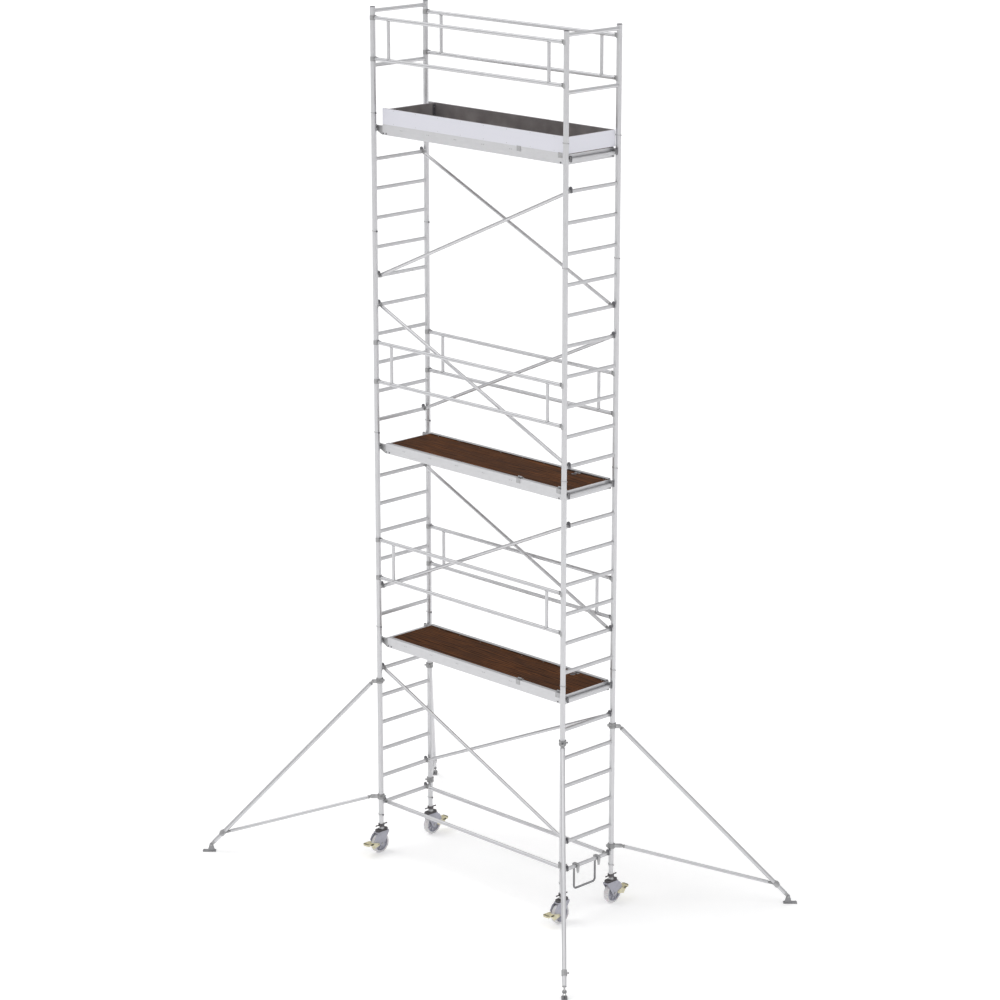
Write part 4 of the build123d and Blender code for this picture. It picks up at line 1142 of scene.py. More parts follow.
class TOWER_OT_hatches(Operator):
    """Builds the hinged hatches, their straps and the fixed hinge leaves"""

    bl_idname = "tower.build_hatches"
    bl_label = "Hatches"

    def execute(self, context):
        fixed = Shape()
        for level in LEVELS:
            node = f"hatch_{level}"
            pivot = joint(f"hatch_open_{level}")["pos_m"]
            top = high(f"deck_{level}").z
            shape = Shape()
            centre = hatch_panel(shape, node, top)
            ring = ((22 * MM, -1 * MM), (26 * MM, 1.6 * MM), (22 * MM, 2.2 * MM),
                    (19 * MM, 1.6 * MM), (19 * MM, -12 * MM), (22 * MM, -12 * MM))
            shape.turned((centre.x, centre.y, top), (centre.x, centre.y, top + 1), ring, 3,
                         loop=True)
            self.catch(shape, node, top)
            for x in (high(node).x - 20 * MM, high(node).x - 536 * MM):
                self.strap(shape, x, pivot, low(node).y, top)
                self.leaf(fixed, x, pivot, high(f"platform_frame_{level}"),
                          low(f"platform_frame_{level}"))
            make_piece(f"plywood_{node}", shape, finish("film", "edge", "zinc", "latch"), node,
                       [node], edge=0.8 * MM)
        make_piece("fixed_hinge_leaves", fixed, finish("zinc"), "tower",
                   ["hatch_hinges"], edge=0.5 * MM)
        return {"FINISHED"}

    def catch(self, shape, node, top):
        """The turn catch that keeps the hatch shut, at its free edge."""
        x, y = middle(node).x, high(node).y - 22 * MM
        box_between(shape, (x - 32 * MM, y - 14 * MM, top),
                    (x + 32 * MM, y + 14 * MM, top + 3 * MM), 2)
        shape.turned((x, y, top + 3 * MM), (x, y, top + 1),
                     ((11 * MM, 0), (11 * MM, 3 * MM), (8 * MM, 5 * MM)), 3, 20)
        for dx in (-24 * MM, 24 * MM):
            rivet(shape, (x + dx, y, top + 3 * MM), (0, 0, 1), 7 * MM, 2)

    def strap(self, shape, x, pivot, edge_y, top):
        """The moving leaf: a knuckle, a cranked strap and three rivets in the panel."""
        y, z = pivot[1], pivot[2]
        half = 50 * MM / 6
        shape.round_tube((x - half, y, z), (x + half, y, z), 14 * MM, 2.95 * MM, 2, 20)
        knee = edge_y + 6 * MM
        box_between(shape, (x - half, y + 5 * MM, z - 1.5 * MM), (x + half, knee, z + 1.5 * MM), 2)
        box_between(shape, (x - half, knee - 3 * MM, top), (x + half, knee, z + 1.5 * MM), 2)
        far = knee + 50 * MM
        tip = [(-half, 0), (half, 0), (half, far - knee - half)]
        tip += arc(half, 0, 180, 8, (0, far - knee - half))[1:]
        shape.extrude(tip, Matrix.Translation((x, knee - 3 * MM, top)), 3 * MM, 2)
        for distance in (14 * MM, 30 * MM, 44 * MM):
            rivet(shape, (x, knee + distance - 3 * MM, top + 3 * MM), (0, 0, 1), 7 * MM, 2)

    def leaf(self, shape, x, pivot, rail_high, rail_low):
        """The fixed leaf: two knuckles on the rail's lip and a strap down its outer face."""
        y, z = pivot[1], pivot[2]
        half, sixth = 25 * MM, 25 * MM / 3 + 0.3 * MM
        top, out = rail_high.z, rail_low.y
        shape.round_bar((x - half - 1.5 * MM, y, z), (x + half + 1.5 * MM, y, z), 8 * MM)
        for near, far in ((x - half, x - sixth), (x + sixth, x + half)):
            shape.round_bar((near, y, z), (far, y, z), 14 * MM)
            box_between(shape, (near, y - 7 * MM, top + 1 * MM), (far, y + 7 * MM, z))
        box_between(shape, (x - half, out - 3 * MM, top), (x + half, y, top + 2.7 * MM))
        box_between(shape, (x - half, out - 3 * MM, top - 45 * MM), (x + half, out, top))
        for dx in (-15 * MM, 15 * MM):
            rivet(shape, (x + dx, out - 3 * MM, top - 32 * MM), (0, -1, 0), 9 * MM, 0)


# ---- toe boards --------------------------------------------------------------------------------
class TOWER_OT_toe_boards(Operator):
    """Builds the toe boards round the top platform, their facings and dark corner fittings"""

    bl_idname = "tower.build_toe_boards"
    bl_label = "Toe Boards"

    left_inset: FloatProperty(name="Left inset", description="Left rung to the left end board",
                              default=0.170, min=0.0, unit="LENGTH")

    def execute(self, context):
        decks = context.scene.tower_decks
        lowest, highest = low("toe_boards"), high("toe_boards")
        thick, facing = decks.toe_board, decks.facing
        rail_top = high("platform_frame_3").z
        shape = Shape()
        for sign in (-1, 1):
            out = sign * highest.y
            skin = sorted((out, out - sign * facing))
            core = sorted((out - sign * facing, out - sign * thick))
            right = highest.x - thick
            box_between(shape, (lowest.x, skin[0], rail_top), (right, skin[1], highest.z), 0)
            box_between(shape, (lowest.x, core[0], rail_top + MM), (right, core[1], highest.z - MM),
                        1)
            self.capping(shape, (lowest.x, right), sign, highest)
        ends = ((-POST_X + self.left_inset, -1, highest.y - thick),
                (highest.x - thick / 2, 1, highest.y))
        for x, way, reach in ends:
            out = x + way * thick / 2
            skin = sorted((out, out - way * facing))
            core = sorted((out - way * facing, out - way * thick))
            box_between(shape, (skin[0], -reach, rail_top), (skin[1], reach, highest.z), 0)
            box_between(shape, (core[0], -reach, rail_top + MM),
                        (core[1], reach, highest.z - MM), 1)
            for sign in (-1, 1):
                self.corner(shape, out - way * thick, way, sign, reach, rail_top, highest.z)
        make_piece("faced_toe_boards", shape, finish("sheet", "toe", "latch", "zinc"), "tower",
                   ["toe_boards"], edge=0.8 * MM)
        return {"FINISHED"}

    def capping(self, shape, span, sign, highest):
        """Rivets that hold a side board's facing, along its upper and lower edges."""
        count = 8
        for i in range(count):
            x = span[0] + (span[1] - span[0]) * (i + 0.5) / count
            for z in (highest.z - 14 * MM, high("platform_frame_3").z + 14 * MM):
                rivet(shape, (x, sign * highest.y, z), (0, sign, 0), 7 * MM, 3)

    def corner(self, shape, x, way, sign, reach, base, top):
        """A dark clip that locks an end board to its side board."""
        y = sign * (reach - 16 * MM)
        near, far = sorted((x, x - way * 5 * MM))
        low_y, high_y = sorted((y - sign * 17 * MM, y + sign * 14 * MM))
        box_between(shape, (near, low_y, base + 12 * MM), (far, high_y, top - 14 * MM), 2)
        for z in (base + 36 * MM, top - 38 * MM):
            rivet(shape, ((near if way > 0 else far), y, z), (-way, 0, 0), 11 * MM, 3)


# ---- step bracket ------------------------------------------------------------------------------
class TOWER_OT_step_bracket(Operator):
    """Builds the bent bar step that hangs on the lowest rung of the right end frame"""

    bl_idname = "tower.build_step_bracket"
    bl_label = "Step Bracket"

    def execute(self, context):
        tubes = context.scene.tower_tubes
        lowest, highest = low("step_bracket"), high("step_bracket")
        z = rung_z(0, tubes)
        radius = 10 * MM
        x = POST_X - 28 * MM
        leg = highest.y - 15 * MM
        bottom = lowest.z + radius
        bend = 30 * MM
        path = [Vector((x, -leg, z - 15 * MM)), Vector((x, -leg, z - 80 * MM))]
        for start, y in ((180, bend - leg), (270, leg - bend)):
            path += [Vector((x, py, pz))
                     for py, pz in arc(bend, start, start + 90, 8, (y, bottom + bend))]
        path += [Vector((x, leg, z - 80 * MM)), Vector((x, leg, z - 15 * MM))]
        shape = Shape()
        shape.sweep(path, round_outline(radius, 20), 0)
        grip = leg - bend - 6 * MM
        for i in range(int(2 * grip / (12 * MM))):
            y = -grip + 12 * MM * i
            shape.turned((x, y, bottom), (x, y + 1, bottom),
                         ((radius - 1 * MM, 0), (radius + 1.2 * MM, 2 * MM),
                          (radius + 1.2 * MM, 6 * MM), (radius - 1 * MM, 8 * MM)), 1, 20)
        slot = tubes.rung / 2 + PLAY
        wall = 9 * MM
        seat = z + tubes.rung / 2 + 0.1 * MM
        tail = POST_X + slot
        half = radius + 1.2 * MM
        outline = [(x - half, z - 15.3 * MM)]
        outline += arc(wall, 180, 90, 5, (x - half + wall, seat))
        outline += arc(2 * wall, 90, 0, 8, (tail, seat - wall))
        outline += [(tail + wall, low("frame_right_1").z + 70 * MM), (tail, z - 15 * MM),
                    (tail, seat), (POST_X - slot, seat), (POST_X - slot, z - 15.3 * MM)]
        for y in (-leg, leg):
            shape.extrude(outline, upright(), 30 * MM, 1, y - 15 * MM)
            shape.bolt((tail + wall, y, z - 22 * MM), (tail + wall + 6 * MM, y, z - 22 * MM),
                       11 * MM, 16 * MM, 2)
            ring = [(x + px, y + py, z - 16 * MM) for px, py in round_outline(radius, 24)]
            shape.weld(ring, tubes.weld, 1)
        make_piece("bent_step_bracket", shape, finish("bar", "cast", "zinc"), "tower",
                   ["step_bracket"], edge=0.8 * MM)
        return {"FINISHED"}


# ---- casters, each about its post axis with the pedal towards +Y -------------------------------
def caster_place(corner, tubes):
    """Post axis of a corner, turned so that the pedal points out of the tower."""
    sx, sy = CORNERS[corner]
    turn = Matrix.Rotation(0 if sy > 0 else math.pi, 4, "Z")
    return Matrix.Translation((sx * POST_X, sy * post_y(tubes), 0)) @ turn


class TOWER_OT_caster_spindles(Operator):
    """Builds the threaded spindles and the height nuts"""

    bl_idname = "tower.build_caster_spindles"
    bl_label = "Caster Spindles"

    def execute(self, context):
        tubes = context.scene.tower_tubes
        sizes = context.scene.tower_casters
        for corner in CORNERS:
            self.spindle(corner, tubes, sizes)
            self.nut(corner, tubes)
        return {"FINISHED"}

    def spindle(self, corner, tubes, sizes):
        """A tube with a rolled trapezoid thread, its foot flange and the kingpin."""
        node = f"caster_spindle_{corner}"
        base, top = low(node).z + 30 * MM, high(node).z
        radius, bore, sides = 19 * MM, 14 * MM, 32
        shape = Shape(caster_place(corner, tubes))
        rings = []
        steps = int((top - base) / sizes.thread_pitch * 6)
        for i in range(steps + 1):
            z = base + (top - base) * i / steps
            ring = []
            for k in range(sides):
                turn = ((z - base) / sizes.thread_pitch - k / sides) % 1.0
                depth = min(1.0, max(0.0, 1.5 - abs(turn - 0.5) * 6))
                if i in (0, steps):
                    depth = 0.5
                r = radius - sizes.thread_depth * depth
                angle = math.tau * k / sides
                ring.append((r * math.cos(angle), r * math.sin(angle), z))
            rings.append(ring)
        for z in (top, base):
            rings.append([(x, y, z) for x, y in round_outline(bore, sides)])
        shape.skin(rings, 0, loop=True)
        flange = base - 8 * MM
        shape.turned((0, 0, flange), (0, 0, 1),
                     ((27.5 * MM, 0), (29 * MM, 1.5 * MM), (29 * MM, 6 * MM), (27 * MM, 8 * MM)),
                     0, 40)
        ring = [(x, y, base) for x, y in round_outline(radius, 32)]
        shape.weld(ring, tubes.weld, 1)
        shape.round_bar((0, 0, low(node).z), (0, 0, flange), 20 * MM, 0)
        make_piece(f"threaded_{node}", shape, finish("zinc", "weld"), f"spindle_{corner}",
                   [node], edge=0, smooth=30)

    def nut(self, corner, tubes):
        """A cast nut with two round handles and grip flutes."""
        node = f"caster_nut_{corner}"
        base, top = low(node).z, high(node).z
        reach = high(node).y - middle(node).y
        centre = (base + top) / 2
        shape = Shape(caster_place(corner, tubes))
        outer = []
        for k in range(48):
            angle = math.tau * k / 48
            radius = (31 if k % 6 > 1 else 29.4) * MM
            outer.append((radius * math.cos(angle), radius * math.sin(angle)))
        slim = [(x * 0.95, y * 0.95) for x, y in outer]
        bore = round_outline(19.3 * MM, 48)
        levels = ((slim, base), (outer, base + 2 * MM), (outer, top - 2 * MM), (slim, top),
                  (bore, top), (bore, base))
        shape.skin([[(x, y, z) for x, y in ring] for ring, z in levels], 0, loop=True)
        for sign in (-1, 1):
            shape.turned((0, sign * 28 * MM, centre), (0, sign, centre),
                         ((8 * MM, 0), (6 * MM, 8 * MM), (5.5 * MM, reach - 46 * MM),
                          (7 * MM, reach - 40 * MM), (7 * MM, reach - 31 * MM),
                          (5 * MM, reach - 28 * MM)), 0, 20)
        make_piece(f"cast_{node}", shape, finish("head"), f"nut_{corner}", [node],
                   edge=0.6 * MM)


class TOWER_OT_casters(Operator):
    """Builds the forks, wheels and brake pedals of the four casters"""

    bl_idname = "tower.build_casters"
    bl_label = "Casters"

    def execute(self, context):
        tubes = context.scene.tower_tubes
        sizes = context.scene.tower_casters
        for corner in CORNERS:
            place = caster_place(corner, tubes)
            self.fork(corner, place, sizes)
            self.wheel(corner, place, sizes)
            self.pedal(corner, place, sizes)
        return {"FINISHED"}

    def fork(self, corner, place, sizes):
        """Swivel head with its ball race, bridge, two pressed cheeks and the axle's bolt."""
        node = f"caster_fork_{corner}"
        shape = Shape(place)
        top = high(node).z
        bridge = top - 22 * MM
        trail, axle_z = sizes.trail, high(f"caster_wheel_{corner}").z / 2
        head = []
        for cy, start in ((44 * MM, 0), (-44 * MM, 180)):
            head += arc(30.5 * MM, start, start + 180, 16, (0, cy))
        slim = [(x * 0.94, y * 0.97) for x, y in head]
        king = [(10.9 * MM * math.cos(a), 10.9 * MM * math.sin(a))
                for a in [math.atan2(y, x) for x, y in head]]
        levels = ((slim, bridge), (head, bridge + 3 * MM), (head, bridge + 8.5 * MM),
                  (slim, bridge + 9.5 * MM), (slim, bridge + 11.5 * MM), (head, bridge + 12.5 * MM),
                  (head, top - 3 * MM), (slim, top), (king, top), (king, bridge))
        shape.skin([[(x, y, z) for x, y in ring] for ring, z in levels], 1, loop=True)
        for y in (-52 * MM, 52 * MM):
            shape.bolt((0, y, top - 8 * MM), (0, y, top - 0.2 * MM), 13 * MM, 18 * MM, 2)
        out, inside = 34 * MM, 29 * MM
        box = box_outline(2 * out, 150 * MM, 6 * MM)
        shape.extrude(box, Matrix.Translation((0, 0, bridge - 12 * MM)), 12 * MM, 0)
        under = bridge - 12 * MM
        cheek = [(-75 * MM, under), (75 * MM, under), (97 * MM, under - 12 * MM)]
        cheek += [(trail + 98 * MM, 158 * MM), (trail + 104 * MM, 150 * MM),
                  (trail + 99 * MM, 142 * MM), (trail + 67 * MM, 98 * MM)]
        cheek += arc(26 * MM, -10, -170, 10, (trail, axle_z))
        for sign in (-1, 1):
            start = inside if sign > 0 else -out
            shape.extrude(cheek, ACROSS, out - inside, 0, start)
            face = sign * out
            rib = [(-56 * MM, under - 8 * MM), (52 * MM, under - 8 * MM),
                   (60 * MM, under - 16 * MM), (trail + 8 * MM, axle_z + 34 * MM),
                   (trail - 12 * MM, axle_z + 34 * MM)]
            shape.extrude(rib, ACROSS, 1.2 * MM, 0, face - (1.2 * MM if sign < 0 else 0))
            end = face + sign * 0.3 * MM
            shape.bolt((end, trail, axle_z), (end + sign * 8 * MM, trail, axle_z), 19 * MM, 23 * MM,
                       2)
        shape.round_bar((-out, trail, axle_z), (out, trail, axle_z), sizes.axle, 2)
        make_piece(f"pressed_{node}", shape, finish("fork", "head", "zinc"), f"fork_{corner}",
                   [node], edge=0.8 * MM)

    def wheel(self, corner, place, sizes):
        """Pale tyre with a rounded tread, a dished web with ribs, and a bearing cap."""
        node = f"caster_wheel_{corner}"
        radius = high(node).z / 2
        # the bore stands clear of the axle's facets
        half, bore, hub, rim = 25 * MM, sizes.axle / 2 + 0.7 * MM, 22 * MM, radius * 0.78
        near, far = (-half, sizes.trail, radius), (half, sizes.trail, radius)
        shape = Shape(place)
        tread = [(rim, 0), (rim + 1 * MM, 0)]
        tread += [(radius - 1.2 * MM * abs(t) ** 3 - 4 * MM * max(0, abs(t) - 0.8) / 0.2,
                   half + t * half) for t in [k / 12 for k in range(-12, 13)]]
        tread += [(rim + 1 * MM, 2 * half), (rim, 2 * half)]
        shape.turned(near, far, tread, 0, 72, loop=True)
        body = [(bore, 0), (hub, 0), (hub + 2 * MM, 3 * MM), (hub + 3 * MM, 13 * MM),
                (rim - 4 * MM, 15 * MM), (rim - 3 * MM, 3 * MM), (rim, 1 * MM)]
        body += [(r, 2 * half - x) for r, x in reversed(body)]
        shape.turned(near, far, body, 1, 72, loop=True)
        for side in (-1, 1):
            for k in range(sizes.spokes):
                spin = Matrix.Rotation(math.tau * (k + 0.5) / sizes.spokes, 4, "X")
                centre = Matrix.Translation((0, sizes.trail, radius))
                rib = [(hub, side * 21 * MM), (rim - 2 * MM, side * 21 * MM),
                       (rim - 2 * MM, side * 9 * MM), (hub, side * 9 * MM)]
                across = Matrix(((0, 1, 0), (0, 0, 1), (1, 0, 0))).to_4x4()
                shape.extrude(rib, centre @ spin @ across, 5 * MM, 1, -2.5 * MM)
            cap = ((12 * MM, 0), (17 * MM, 0.8 * MM), (17.5 * MM, 2.4 * MM), (12 * MM, 2.4 * MM))
            start = (side * (half - 1.5 * MM), sizes.trail, radius)
            shape.turned(start, (side, sizes.trail, radius), cap, 2, 32, loop=True)
        make_piece(f"moulded_{node}", shape, finish("tyre", "fork", "zinc"), f"wheel_{corner}",
                   [node], edge=0.5 * MM)

    def pedal(self, corner, place, sizes):
        """Two arms on pivot bolts, a ribbed tread plate and its rubber grip."""
        node = f"caster_pedal_{corner}"
        lowest, highest = low(node), high(node)
        trail = sizes.trail
        pivot = Vector(joint(f"pedal_{corner}")["pos_m"])
        pivot_y, pivot_z = trail + 52 * MM, pivot.z
        inner, reach, top = trail + 118 * MM, trail + 200 * MM, highest.z
        arm, out = 34.6 * MM, 40.6 * MM
        neck = (inner + reach) / 2
        shape = Shape(place)
        outline = arc(15 * MM, 100, 250, 8, (pivot_y, pivot_z - 6 * MM))
        outline += [(inner, lowest.z), (neck, top - 12 * MM), (neck, top - 2 * MM),
                    (inner, top - 2 * MM)]
        for sign in (-1, 1):
            shape.extrude(outline, ACROSS, out - arm, 0, arm if sign > 0 else -out)
            shape.round_bar((sign * 29 * MM, pivot_y, pivot_z),
                            (sign * 34.6 * MM, pivot_y, pivot_z), 10 * MM, 2)
            shape.turned((sign * (out - 1.4 * MM), pivot_y, pivot_z), (sign, pivot_y, pivot_z),
                         ((9 * MM, 0), (9 * MM, 0.9 * MM), (7 * MM, 1.4 * MM)), 2, 20)
        tip = out * 0.6
        plate = [(-out, inner), (out, inner), (out, reach - tip)]
        plate += arc(tip, 0, 90, 8, (out - tip, reach - tip))[1:]
        plate += arc(tip, 90, 180, 8, (tip - out, reach - tip))
        shape.extrude(plate, Matrix.Translation((0, 0, top - 20 * MM)), 16 * MM, 0)
        for k in range(6):
            y = inner + (9 + 9 * k) * MM
            half = out - 6 * MM
            bar = box_outline(2 * half, 4.5 * MM, 1.5 * MM)
            shape.extrude(bar, Matrix.Translation((0, y, top - 4.5 * MM)), 4.5 * MM, 0)
        grip = [(-out + 3 * MM, reach - 25 * MM), (out - 3 * MM, reach - 25 * MM)]
        grip += arc(tip - 2 * MM, 0, 90, 8, (out - tip, reach - tip - 0.5 * MM))
        grip += arc(tip - 2 * MM, 90, 180, 8, (tip - out, reach - tip - 0.5 * MM))
        shape.extrude(grip, Matrix.Translation((0, 0, top - 5 * MM)), 5 * MM, 1)
        make_piece(f"ribbed_{node}", shape, finish("pedal", "grip", "zinc"), f"pedal_{corner}",
                   [node], edge=0.8 * MM)


# ---- outriggers, each in its own XZ plane with its post on the Z axis --------------------------
class TOWER_OT_outriggers(Operator):
    """Builds the outrigger arms with their clamps, couplers and feet"""

    bl_idname = "tower.build_outriggers"
    bl_label = "Outriggers"

    reach: FloatProperty(name="Reach", description="Post axis to the foot's pivot", default=1.7,
                         min=0.1, unit="LENGTH")
    coupler: FloatProperty(name="Coupler", description="Post axis to the sliding coupler",
                           default=1.58, min=0.1, unit="LENGTH")
    upper: FloatProperty(name="Upper clamp", description="Height of the upper clamp",
                         default=1.8, min=0.1, unit="LENGTH")
    lower: FloatProperty(name="Lower clamp", description="Height of the lower clamp",
                         default=0.585, min=0.1, unit="LENGTH")

    def execute(self, context):
        tubes = context.scene.tower_tubes
        sizes = context.scene.tower_outriggers
        for corner, (sx, sy) in CORNERS.items():
            azimuth = math.atan2(sy, sx)
            place = Matrix.Translation((sx * POST_X, sy * post_y(tubes), 0))
            place = place @ Matrix.Rotation(azimuth, 4, "Z")
            self.arm(corner, place, tubes, sizes)
            self.foot(corner, place)
        return {"FINISHED"}

    def clamp(self, shape, z, pivot, tubes, sizes):
        """Two hinged half shells round the post, a knuckle for the arm and a wing nut."""
        half, radius = sizes.clamp_height / 2, sizes.clamp / 2
        bore = tubes.post / 2 + 0.05 * MM
        ring = ((bore, -half), (radius - 2 * MM, -half), (radius, -half + 2 * MM),
                (radius, -6 * MM), (radius - 2.5 * MM, -4 * MM), (radius - 2.5 * MM, 4 * MM),
                (radius, 6 * MM), (radius, half - 2 * MM), (radius - 2 * MM, half), (bore, half))
        shape.turned((0, 0, z), (0, 0, z + 1), ring, 1, 48, loop=True)
        x, _, pz = pivot
        cheek = arc(16 * MM, -90, 90, 12, (x, pz)) + [(bore + 4 * MM, pz + 16 * MM),
                                                      (bore + 4 * MM, pz - 16 * MM)]
        for start in (-13 * MM, 5 * MM):
            shape.extrude(cheek, upright(), 8 * MM, 1, start)
        knuckle = Matrix.Translation((x, 0, pz)) @ upright()
        shape.extrude(round_outline(14 * MM, 24), knuckle, 10 * MM, 1, -5 * MM)
        for sign in (-1, 1):
            shape.bolt((x, sign * 13 * MM, pz), (x, sign * 18 * MM, pz), 13 * MM, 18 * MM, 2)
        for level in (-11 * MM, 3 * MM):
            ear = box_outline(24 * MM, 12 * MM, 3 * MM)
            shape.extrude(ear, Matrix.Translation((-radius - 2 * MM, 0, z + level)), 8 * MM, 1)
        shape.round_bar((-radius - 6 * MM, 0, z - 12 * MM), (-radius - 6 * MM, 0, z + 12 * MM),
                        7 * MM, 2)
        self.wing_nut(shape, (0, radius - 4 * MM, z), (0, 1, 0))

    def wing_nut(self, shape, base, outward):
        """A short threaded rod with a cast wing nut on it."""
        place, _ = between(base, Vector(base) + Vector(outward))
        shape.turned(base, Vector(base) + Vector(outward),
                     ((5 * MM, 0), (5 * MM, 6 * MM), (9 * MM, 6 * MM), (7.5 * MM, 15 * MM),
                      (4 * MM, 15 * MM), (4 * MM, 20 * MM)), 2, 20)
        for sign in (-1, 1):
            wing = [(sign * x * MM, y * MM)
                    for x, y in ((5, 7), (12, 9), (21, 16), (20, 20), (14, 19), (6, 14))]
            shape.extrude(wing, place @ upright(), 4 * MM, 1, -2 * MM)

    def arm(self, corner, place, tubes, sizes):
        """The main tube and its strut between two post clamps and the foot's tongue."""
        node = f"outrigger_{corner}"
        shape = Shape(place)
        top = Vector((68 * MM, 0, self.upper - sizes.clamp_height / 5))
        foot = Vector((self.reach, 0, 68 * MM))
        slope = (foot.z - top.z) / (foot.x - top.x)
        meet = Vector((self.coupler, 0, top.z + slope * (self.coupler - top.x)))
        bottom = Vector((95 * MM, 0, self.lower))
        self.clamp(shape, self.upper, top, tubes, sizes)
        self.clamp(shape, self.lower, bottom, tubes, sizes)
        start, tongue = 29 * MM, 46 * MM
        shape.round_tube(along(top, foot, start), along(foot, top, tongue), sizes.arm,
                         tubes.wall, 0)
        shape.round_tube(along(bottom, meet, start), along(meet, bottom, 82 * MM), sizes.strut,
                         tubes.wall, 0)
        for near, far, across in ((top, foot, sizes.arm), (bottom, meet, sizes.strut)):
            shape.turned(along(near, far, 12 * MM), far,
                         ((12 * MM, 0), (14 * MM, 6 * MM), (across / 2 + 1 * MM, 15 * MM),
                          (across / 2 + 1 * MM, 23 * MM), (across / 2 - 3 * MM, 23 * MM)), 1, 32)
            spot = along(near, far, start + 18 * MM)
            for sign in (-1, 1):
                base = spot + Vector((0, sign * across / 2, 0))
                rivet(shape, base, (0, sign, 0), 8 * MM, 2)
        self.sliding_coupler(shape, meet, top, foot, bottom, sizes)
        half = 8 * MM
        width = 17 * MM
        place_foot, _ = between(foot, top)
        # the tongue is a slab along the main tube
        slab = box_outline(2 * half, 2 * width, 3 * MM)
        shape.extrude(slab, place_foot, tongue + 2 * MM, 1, 0.0)
        shape.turned(along(foot, top, tongue - 2 * MM), top,
                     ((half + 4 * MM, 0), (sizes.arm / 2 + 1 * MM, 2 * MM),
                      (sizes.arm / 2 + 1 * MM, 6 * MM), (sizes.arm / 2 - 3 * MM, 6 * MM)), 1, 32)
        ring = ((6.05 * MM, -half), (width - 1 * MM, -half), (width, -half + 1 * MM),
                (width, half - 1 * MM), (width - 1 * MM, half), (6.05 * MM, half))
        shape.turned(foot, foot + Vector((0, 1, 0)), ring, 1, 32, loop=True)
        make_piece(f"tubular_{node}", shape, finish("tube", "cast", "zinc", "latch"), node,
                   [node], edge=0.7 * MM)

    def sliding_coupler(self, shape, meet, top, foot, bottom, sizes):
        """The ring that the strut ends in, clamped on the main tube by a wing nut."""
        half, bore = 28 * MM, sizes.arm / 2 + 0.1 * MM
        radius = sizes.arm / 2 + 6 * MM
        ring = ((bore, -half), (radius - 1.5 * MM, -half), (radius, 2 * MM - half),
                (radius, half - 2 * MM), (radius - 1.5 * MM, half), (bore, half))
        shape.turned(meet, foot, ring, 1, 40, loop=True)
        shape.turned(along(meet, bottom, radius - 3 * MM), bottom,
                     ((17 * MM, 0), (13 * MM, 8 * MM), (13 * MM, 62 * MM), (15 * MM, 59 * MM)),
                     1, 32)
        side = Vector((0, 1, 0))
        self.wing_nut(shape, meet + side * (radius - 3 * MM), side)
        away, axis = (meet - bottom).normalized(), (foot - top).normalized()
        rise = (away - axis * away.dot(axis)).normalized()
        lug = box_outline(14 * MM, 30 * MM, 3 * MM)
        lug_place, _ = between(meet + rise * (radius - 3 * MM), meet + rise)
        shape.extrude(lug, lug_place, 9 * MM, 1)

    def foot(self, corner, place):
        """A cast plate with two webbed ears, the tongue's pin and a ribbed rubber pad."""
        node = f"outrigger_foot_{corner}"
        shape = Shape(place)
        pivot_z = joint(f"foot_tilt_{corner}")["pos_m"][2]
        start, length, half = self.reach - 48 * MM, 133 * MM, 27.5 * MM
        middle_x = start + length / 2
        for size, base, depth, metal in ((0.0, 3 * MM, 4 * MM, 0), (4 * MM, 7 * MM, 5 * MM, 0)):
            plate = box_outline(length - size, 2 * half - size, 9 * MM)
            shape.extrude(plate, Matrix.Translation((middle_x, 0, base)), depth, metal)
        count = 13
        for k in range(count):
            x = start + length * (k + 0.5) / count
            bar = box_outline(length / count * 0.72, 2 * half - 3 * MM, 1.5 * MM)
            shape.extrude(bar, Matrix.Translation((x, 0, 0)), 3.2 * MM, 1)
        web = [(self.reach - 34 * MM, 10 * MM), (self.reach + 34 * MM, 10 * MM)]
        web += arc(17 * MM, 0, 180, 14, (self.reach, pivot_z))
        for near in (-14.6 * MM, 8.6 * MM):
            shape.extrude(web, upright(), 6 * MM, 0, near)
        shape.round_bar((self.reach, -15 * MM, pivot_z), (self.reach, 15 * MM, pivot_z), 12 * MM, 2)
        for sign in (-1, 1):
            shape.bolt((self.reach, sign * 14.6 * MM, pivot_z),
                       (self.reach, sign * 21 * MM, pivot_z), 19 * MM, 24 * MM, 2)
            for x in (start + 14 * MM, start + length - 14 * MM):
                shape.bolt((x, sign * 17 * MM, 11.5 * MM), (x, sign * 17 * MM, 15 * MM), 9 * MM, 0,
                           2)
        make_piece(f"cast_{node}", shape, finish("foot", "pad", "zinc"), f"foot_{corner}",
                   [node], edge=0.9 * MM)


